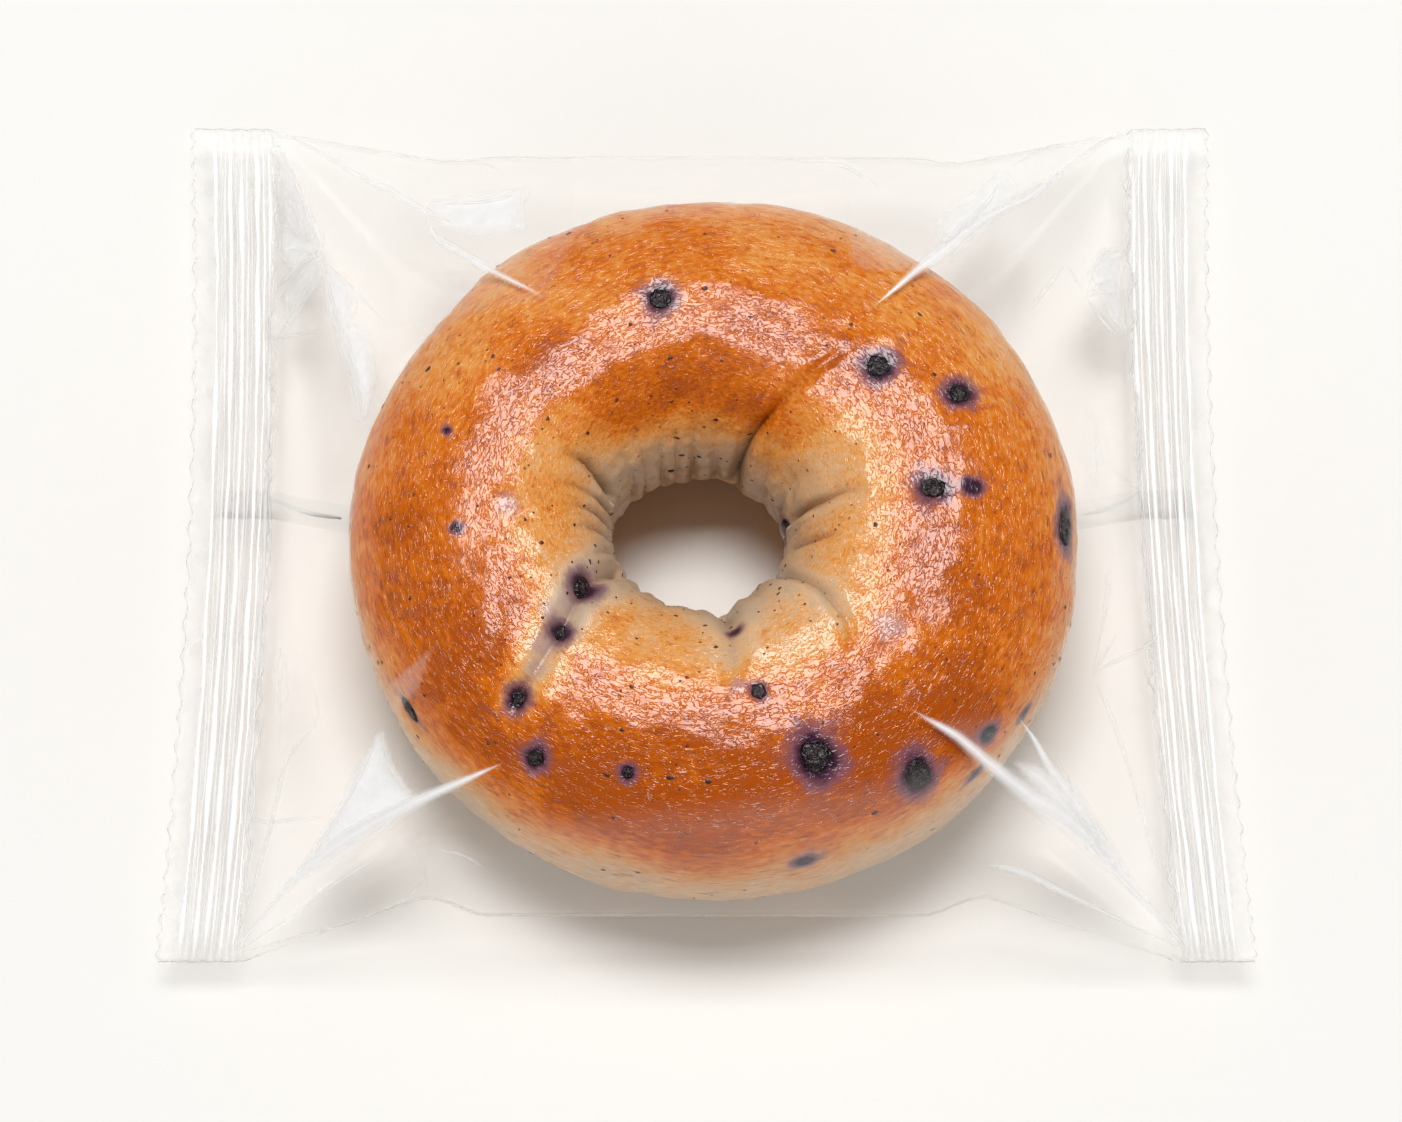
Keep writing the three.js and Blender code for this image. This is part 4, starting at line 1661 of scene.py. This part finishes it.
    def crimp(self, away: Array) -> Array:
        """Give the wave of a seal's ribs.

        Args:
            away: Distances from the bag's middle, towards a seal.

        Returns:
            Heights above and below the flat seal.
        """
        wave = np.cos((away - self.seal_x) / self.rib_pitch * 2.0 * math.pi)
        inside = smooth((away - self.seal_x) / (0.5 * self.rib_pitch)) * (away < self.ribs_end)
        return self.rib_depth * inside * wave

    def build(self) -> bpy.types.Object:
        """Make the film.

        Returns:
            The piece, which replaces the bag's solid.
        """
        stations = self.stations()
        station, row = np.meshgrid(stations, np.arange(self.rows + 1.0), indexing="ij")
        x, y, far, near = self.plan(station, row)
        away, to_side = np.abs(station), np.minimum(y - near, far - y)
        sealed = away >= self.seal_x - 1e-6
        crumple = self.softened(self.crumple(x, y)) * smooth((self.seal_x - away) / 1.5)
        upper = self.upper_sheet(x, y, away, to_side, crumple)
        upper = self.above_crust(x, y, upper, sealed)
        lower = self.lower_sheet(y, away, to_side, crumple, upper)
        lower = np.where(sealed, upper - self.sheet_gap, lower)
        lower = self.below_crust(x, y, lower, upper, sealed)
        # painted highlight of the panes, standing for reflections
        painted_reflection = np.max([pane.painted_reflection * self.inside(x, y, pane) for pane in PANES if pane.painted_reflection], axis=0)
        top = np.stack([x, y, upper], -1)
        grids = {"haze_and_painted_reflection": self.haze_and_painted_reflection(x, y, away, sealed), "gloss": self.gloss(x, y, away), "painted_highlight": painted_reflection}
        points, faces, layers = self.joined(top, np.stack([x, y, lower], -1), grids)
        quads = (len(stations) - 1) * self.rows
        tree = BVHTree.FromPolygons([Vector(spot) for spot in top.reshape(-1, 3)], faces[:quads])
        strips, sides, painted_highlight = self.painted_highlight_strips(tree)
        none = np.zeros_like(painted_highlight)
        # the strips carry painted highlight only
        parts = [(strips, sides, {"haze_and_painted_reflection": none, "gloss": none, "painted_highlight": painted_highlight})]
        for end in (-1.0, 1.0):
            tab, sides = self.fin(end * stations, x, y, lower)
            flat = np.ones(len(tab))
            parts.append((tab, sides, {"haze_and_painted_reflection": 0.0 * flat, "gloss": 0.05 * flat, "painted_highlight": 0.0 * flat}))
        for spots, sides, numbers in parts:
            faces += [tuple(corner + len(points) for corner in side) for side in sides]
            points = np.vstack([points, spots])
            layers = {name: np.append(kept, numbers[name]) for name, kept in layers.items()}
        made = make_piece("film", points, faces, FilmFinish().material(), layers)
        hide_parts("bag")
        return made

    def upper_sheet(self, x: Array, y: Array, away: Array, to_side: Array, crumple: Array) -> Array:
        """Work out the upper sheet: the taut skin with its folds, and the crimped seals.

        Args:
            x: The grid's places across the bag.
            y: The grid's places along the seals.
            away: Distances from the bag's middle, towards a seal.
            to_side: Distances from the nearer long side.
            crumple: Heights of the small crumples.

        Returns:
            The sheet's heights.
        """
        sealed = away >= self.seal_x - 1e-6
        skin = self.taut(self.planes(), x, y)
        skin = self.softened(np.where(sealed, self.seal_height, skin))
        ridge = self.folded(x, y) * smooth((self.seal_x - away) / 4.0)
        drop = self.side_drop * (1.0 - smooth(to_side / self.side_round)) * (~sealed)
        upper = skin + self.clearance + ridge + crumple - drop - self.dimple(x, y)
        flat = self.seal_height + self.sheet_gap / 2.0
        return np.where(sealed, flat + self.crimp(away) + self.margin_dents(x, y, away), upper)

    def lower_sheet(
        self, y: Array, away: Array, to_side: Array, crumple: Array, upper: Array
    ) -> Array:
        """Work out the lower sheet: flat on the table, rising to the long sides and the seals.

        Args:
            y: The grid's places along the seals.
            away: Distances from the bag's middle, towards a seal.
            to_side: Distances from the nearer long side.
            crumple: Heights of the small crumples.
            upper: The upper sheet's heights.

        Returns:
            The sheet's heights between the seals.
        """
        edge = np.where(y < 0.0, upper[:, :1], upper[:, -1:])
        rise = np.clip(1.0 - to_side / self.side_rise, 0.0, 1.0)
        to_seal = np.clip((away - self.flat_half) / (self.seal_x - self.flat_half), 0.0, 1.0)
        under_seal = self.seal_height - self.sheet_gap / 2.0
        base = lerp(edge, under_seal, smooth(to_seal))
        lower = np.maximum(base * rise ** 1.4, under_seal * to_seal ** 1.3) + 0.05
        return lower + 0.5 * crumple * smooth(lower / 2.0)

    def fin(self, out: Array, x: Array, y: Array, lower: Array) -> tuple[Array, list]:
        """Fold the back seal's fin flat under one wing.

        Args:
            out: How far out on this wing's side each of the grid's columns is.
            x: The grid's places across the bag.
            y: The grid's places along the seals.
            lower: The lower sheet's heights on the grid.

        Returns:
            Vertices and faces of one flat closed strip.
        """
        columns = np.flatnonzero((out > self.fin_inner) & (out < self.ribs_end))
        rows = np.flatnonzero(np.abs(y[0] - self.fin_y) < self.fin_width / 2.0)
        part = np.ix_(columns, rows)
        layers = [np.stack([x[part], y[part], lower[part] - depth], -1) for depth in self.fin_depths]
        number = np.arange(len(columns) * len(rows)).reshape(len(columns), len(rows))
        rim = np.concatenate([number[:-1, 0], number[-1, :-1], number[:0:-1, -1], number[0, :0:-1]])
        faces = []
        for i in range(len(columns) - 1):
            for j in range(len(rows) - 1):
                side = quad(number, i, j)
                faces.append(side)
                faces.append(tuple(n + number.size for n in side[::-1]))
        for a, b in zip(rim.tolist(), np.roll(rim, -1).tolist()):
            faces.append((b, a, a + number.size, b + number.size))
        return np.concatenate([layer.reshape(-1, 3) for layer in layers]), faces

    @staticmethod
    def softened(height: Array) -> Array:
        """Round off a grid of heights a little.

        Args:
            height: The grid.

        Returns:
            The rounder grid.
        """
        for _ in range(3):
            padded = np.pad(height, 1, mode="edge")
            beside = padded[:-2, 1:-1] + padded[2:, 1:-1] + padded[1:-1, :-2] + padded[1:-1, 2:]
            height = 0.5 * height + 0.125 * beside
        return height

    def dimple(self, x: Array, y: Array) -> Array:
        """Give how far the film sinks over the bagel's hole."""
        away = np.hypot(x - self.bagel.form.hole_x, y - self.bagel.form.centre_y)
        return self.dimple_depth * (1.0 - smooth(away / self.dimple_radius))

    def margin_dents(self, x: Array, y: Array, away: Array) -> Array:
        """Give the soft dents of the flat margin.

        Args:
            x: Places across the bag.
            y: Places along the seals.
            away: Distances from the bag's middle, towards a seal.

        Returns:
            Heights, 0 within the ribs.
        """
        outer = smooth((away - self.ribs_end) / 1.0)
        plan = np.stack([x, y], -1)
        return outer * (0.14 * Ripple(6.0, 31).at(plan) + 0.06 * Ripple(2.5, 32).at(plan))

    def near_crust(self, x: Array, y: Array, sealed: Array) -> Array:
        """Give the grid's places that may lie over the bagel, as rows of two numbers.

        Args:
            x: The grid's places across the bag.
            y: The grid's places along the seals.
            sealed: Where the grid is in a seal.

        Returns:
            Column and row numbers, a pair a row.
        """
        form = self.bagel.form
        reach = np.hypot(x - form.centre_x, y - form.centre_y)
        return np.argwhere(~sealed & (reach < form.radius + 1.5))

    def above_crust(self, x: Array, y: Array, height: Array, sealed: Array) -> Array:
        """Keep the upper sheet off the bagel.

        Args:
            x: The grid's places across the bag.
            y: The grid's places along the seals.
            height: The upper sheet's heights.
            sealed: Where the grid is in a seal.

        Returns:
            The heights, at least a clearance above the crust.
        """
        tree = self.bagel.tree
        result = height.copy()
        for i, j in self.near_crust(x, y, sealed):
            hit = tree.ray_cast(Vector((x[i, j], y[i, j], RAY_HEIGHT)), DOWN)[0]
            if hit:
                result[i, j] = max(result[i, j], hit.z + self.over_crust)
        return result

    def below_crust(self, x: Array, y: Array, height: Array, top: Array, sealed: Array) -> Array:
        """Keep the lower sheet under the bagel and under the upper sheet.

        Args:
            x: The grid's places across the bag.
            y: The grid's places along the seals.
            height: The lower sheet's heights.
            top: The upper sheet's heights.
            sealed: Where the grid is in a seal.

        Returns:
            The heights, between the table and the crust.
        """
        tree = self.bagel.tree
        result = height.copy()
        for i, j in self.near_crust(x, y, sealed):
            hit = tree.ray_cast(Vector((x[i, j], y[i, j], -1.0)), UP)[0]
            if hit:
                result[i, j] = min(result[i, j], hit.z - self.under_crust)
        held = np.minimum(np.maximum(result, self.over_table), top - self.sheet_gap / 2.0)
        return np.where(sealed, result, held)

    def gloss(self, x: Array, y: Array, away: Array) -> Array:
        """Give how much the film mirrors: least where it clings to the crust or spans the hole.

        Args:
            x: Places across the bag.
            y: Places along the seals.
            away: Distances from the bag's middle, towards a seal.

        Returns:
            Shares from 0 to 1.
        """
        form = self.bagel.form
        reach = np.hypot(x - form.centre_x, y - form.centre_y)
        over = 1.0 - smooth((reach - 38.0) / 14.0)
        span = 1.0 - smooth((reach - 17.0) / 8.0)
        ribs = lerp(1.0, 0.12, smooth((away - self.seal_x) / 2.0))
        margin = lerp(1.0, 0.2, smooth(away - self.ribs_end))
        return lerp(lerp(1.0, 0.03, over), 0.01, span) * (ribs * margin)

    def haze_and_painted_reflection(self, x: Array, y: Array, away: Array, sealed: Array) -> Array:
        """Give how milky the film is in the seals' ribs and at the cut margin, with painted reflection in
        its panes.

        Args:
            x: Places across the bag.
            y: Places along the seals.
            away: Distances from the bag's middle, towards a seal.
            sealed: Where the grid is in a seal.

        Returns:
            Shares from 0 to 1.
        """
        reach = np.hypot(x - self.bagel.form.centre_x, y - self.bagel.form.centre_y)
        haze_and_painted_reflection = 0.016 * smooth((reach - 49.0) / 5.0)
        # painted reflection: the panes raise the milkiness
        for pane in PANES:
            haze_and_painted_reflection = np.maximum(haze_and_painted_reflection, pane.haze_and_painted_reflection * self.inside(x, y, pane))
        turns = (away - self.seal_x) / self.rib_pitch
        ribs = 0.16 + 0.10 * np.cos(2.0 * math.pi * turns) ** 2
        in_ribs = sealed & (away < self.ribs_end)
        margin = 0.24 - 0.10 * smooth(Ripple(4.0, 34).at(np.stack([x, y], -1)) - 0.6)
        margin = margin * (away < self.cut_x - 1e-6)
        haze_and_painted_reflection = np.where(in_ribs, ribs, haze_and_painted_reflection)
        haze_and_painted_reflection = np.where(away >= self.ribs_end, margin, haze_and_painted_reflection)
        return np.clip(haze_and_painted_reflection, 0.0, 1.0)

    def joined(
        self, upper: Array, lower: Array, layers: dict[str, Array]
    ) -> tuple[Array, list, dict[str, Array]]:
        """Join the upper sheet to a coarser lower sheet along their common edge.

        Args:
            upper: The upper sheet's grid of places.
            lower: The lower sheet's places on the same grid.
            layers: Numbers on the upper sheet's grid.

        Returns:
            Vertices, faces and layers of the closed film.
        """
        columns, rows = upper.shape[0] - 1, upper.shape[1] - 1
        number = np.arange((columns + 1) * (rows + 1)).reshape(columns + 1, rows + 1)
        faces = []
        for i in range(columns):
            for j in range(rows):
                faces.append(quad(number, i, j))
        seal = self.rib_columns + self.margin_columns
        kept = [i for i in range(columns + 1) if i < seal or i > columns - seal or (i - seal) % 3 == 0]
        kept_rows = list(range(0, rows + 1, 4))
        under = np.zeros_like(number)
        points = [upper.reshape(-1, 3)]
        extra = {name: [numbers.ravel()] for name, numbers in layers.items()}
        count = number.size
        for i in kept:
            for j in kept_rows:
                if i in (0, columns) or j in (0, rows):
                    under[i, j] = number[i, j]
                    continue
                under[i, j] = count
                count += 1
                points.append(lower[i, j][None])
                for name, numbers in layers.items():
                    scale = 1.0 if name == "gloss" else 0.2
                    extra[name].append(np.array([numbers[i, j] * scale]))
        for i0, i1 in zip(kept, kept[1:]):
            for j0, j1 in zip(kept_rows, kept_rows[1:]):
                loop = [under[i0, j0]]
                loop += [number[0, j] for j in range(j0 + 1, j1)] if i0 == 0 else []
                loop += [under[i0, j1]]
                loop += [number[i, rows] for i in range(i0 + 1, i1)] if j1 == rows else []
                loop += [under[i1, j1]]
                loop += [number[columns, j] for j in range(j1 - 1, j0, -1)] if i1 == columns else []
                loop += [under[i1, j0]]
                loop += [number[i, 0] for i in range(i1 - 1, i0, -1)] if j0 == 0 else []
                faces.append(tuple(int(corner) for corner in loop))
        return np.vstack(points), faces, {name: np.concatenate(parts) for name, parts in extra.items()}


# ------------------------------------------------------------------ studio


@dataclass
class Studio:
    """The pale table, soft lights and the camera."""

    elevation: float = 69.0
    distance: float = 610.07
    target: Colour = (-0.27, -4.9, 6.0)
    lens: float = 107.16
    table_size: float = 3000.0
    lamp_distance: float = 2.4
    room: Colour = (1.0, 0.99, 0.965)
    room_strength: float = 0.10

    def table(self) -> None:
        """Lay the table just under the bag."""
        half = self.table_size * METRE / 2.0
        mesh = bpy.data.meshes.new("table")
        corners = [(x * half, y * half, -0.1 * METRE) for x, y in ((-1, -1), (1, -1), (1, 1), (-1, 1))]
        mesh.from_pydata(corners, [], [(0, 1, 2, 3)])
        mesh.materials.append(TableFinish().material())
        made = bpy.data.objects.new("table", mesh)
        bpy.context.collection.objects.link(made)

    def camera(self) -> None:
        """Set up the camera in front of the bag and steeply above it."""
        tilt = math.radians(self.elevation)
        lens = bpy.data.cameras.new("camera")
        lens.lens = self.lens
        lens.sensor_width = 36.0
        lens.clip_start = 0.01
        made = bpy.data.objects.new("camera", lens)
        back = Vector((0.0, -math.cos(tilt), math.sin(tilt))) * self.distance
        made.location = (Vector(self.target) + back) * METRE
        made.rotation_euler = (math.pi / 2.0 - tilt, 0.0, 0.0)
        bpy.context.collection.objects.link(made)
        bpy.context.scene.camera = made

    def panel(
        self, name: str, azimuth: float, elevation: float, size: tuple[float, float], radiance: float
    ) -> bpy.types.Object:
        """Hang a soft light that faces the bag.

        Args:
            name: The light's name.
            azimuth: Direction to it in degrees, 0 towards +X and 90 towards the back.
            elevation: Its height in degrees.
            size: Its width and height in metres.
            radiance: How bright its face is.

        Returns:
            The light's object.
        """
        lamp = bpy.data.lights.new(name, "AREA")
        lamp.shape = "RECTANGLE"
        lamp.size, lamp.size_y = size
        lamp.energy = radiance * math.pi * size[0] * size[1]
        made = bpy.data.objects.new(name, lamp)
        turn, lift = math.radians(azimuth), math.radians(elevation)
        way = Vector((math.cos(turn) * math.cos(lift), math.sin(turn) * math.cos(lift), math.sin(lift)))
        made.location = way * self.lamp_distance
        made.rotation_euler = way.to_track_quat("Z", "Y").to_euler()
        bpy.context.collection.objects.link(made)
        return made

    def lights(self) -> None:
        """Hang the lights and set the room's own light."""
        self.panel("key", 90.0, 74.0, (1.40, 1.12), 11.0).visible_diffuse = False
        self.panel("over", 90.0, 75.5, (1.30, 0.85), 13.1).visible_glossy = False
        sides = (("front", 270.0, 1.55), ("left", 180.0, 1.05), ("right", 0.0, 1.05))
        for name, azimuth, radiance in sides:
            self.panel(name, azimuth, 31.0, (1.90, 1.30), radiance).visible_glossy = False
        world = bpy.data.worlds.new("room")
        world.use_nodes = True
        background = world.node_tree.nodes["Background"]
        background.inputs["Color"].default_value = (*self.room, 1.0)
        background.inputs["Strength"].default_value = self.room_strength
        bpy.context.scene.world = world
        bpy.context.scene.view_settings.view_transform = "Standard"

    def build(self) -> None:
        """Set the whole stage."""
        self.table()
        self.camera()
        self.lights()
        LOG.info("studio: table, camera and lights")


def main() -> None:
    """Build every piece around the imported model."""
    logging.basicConfig(level=logging.INFO, format="%(name)s %(message)s")
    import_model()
    Studio().build()
    bagel = Bagel()
    bagel.build()
    Berries(bagel).build()
    Specks(bagel).build()
    Film(bagel).build()


if __name__ == "__main__":
    main()
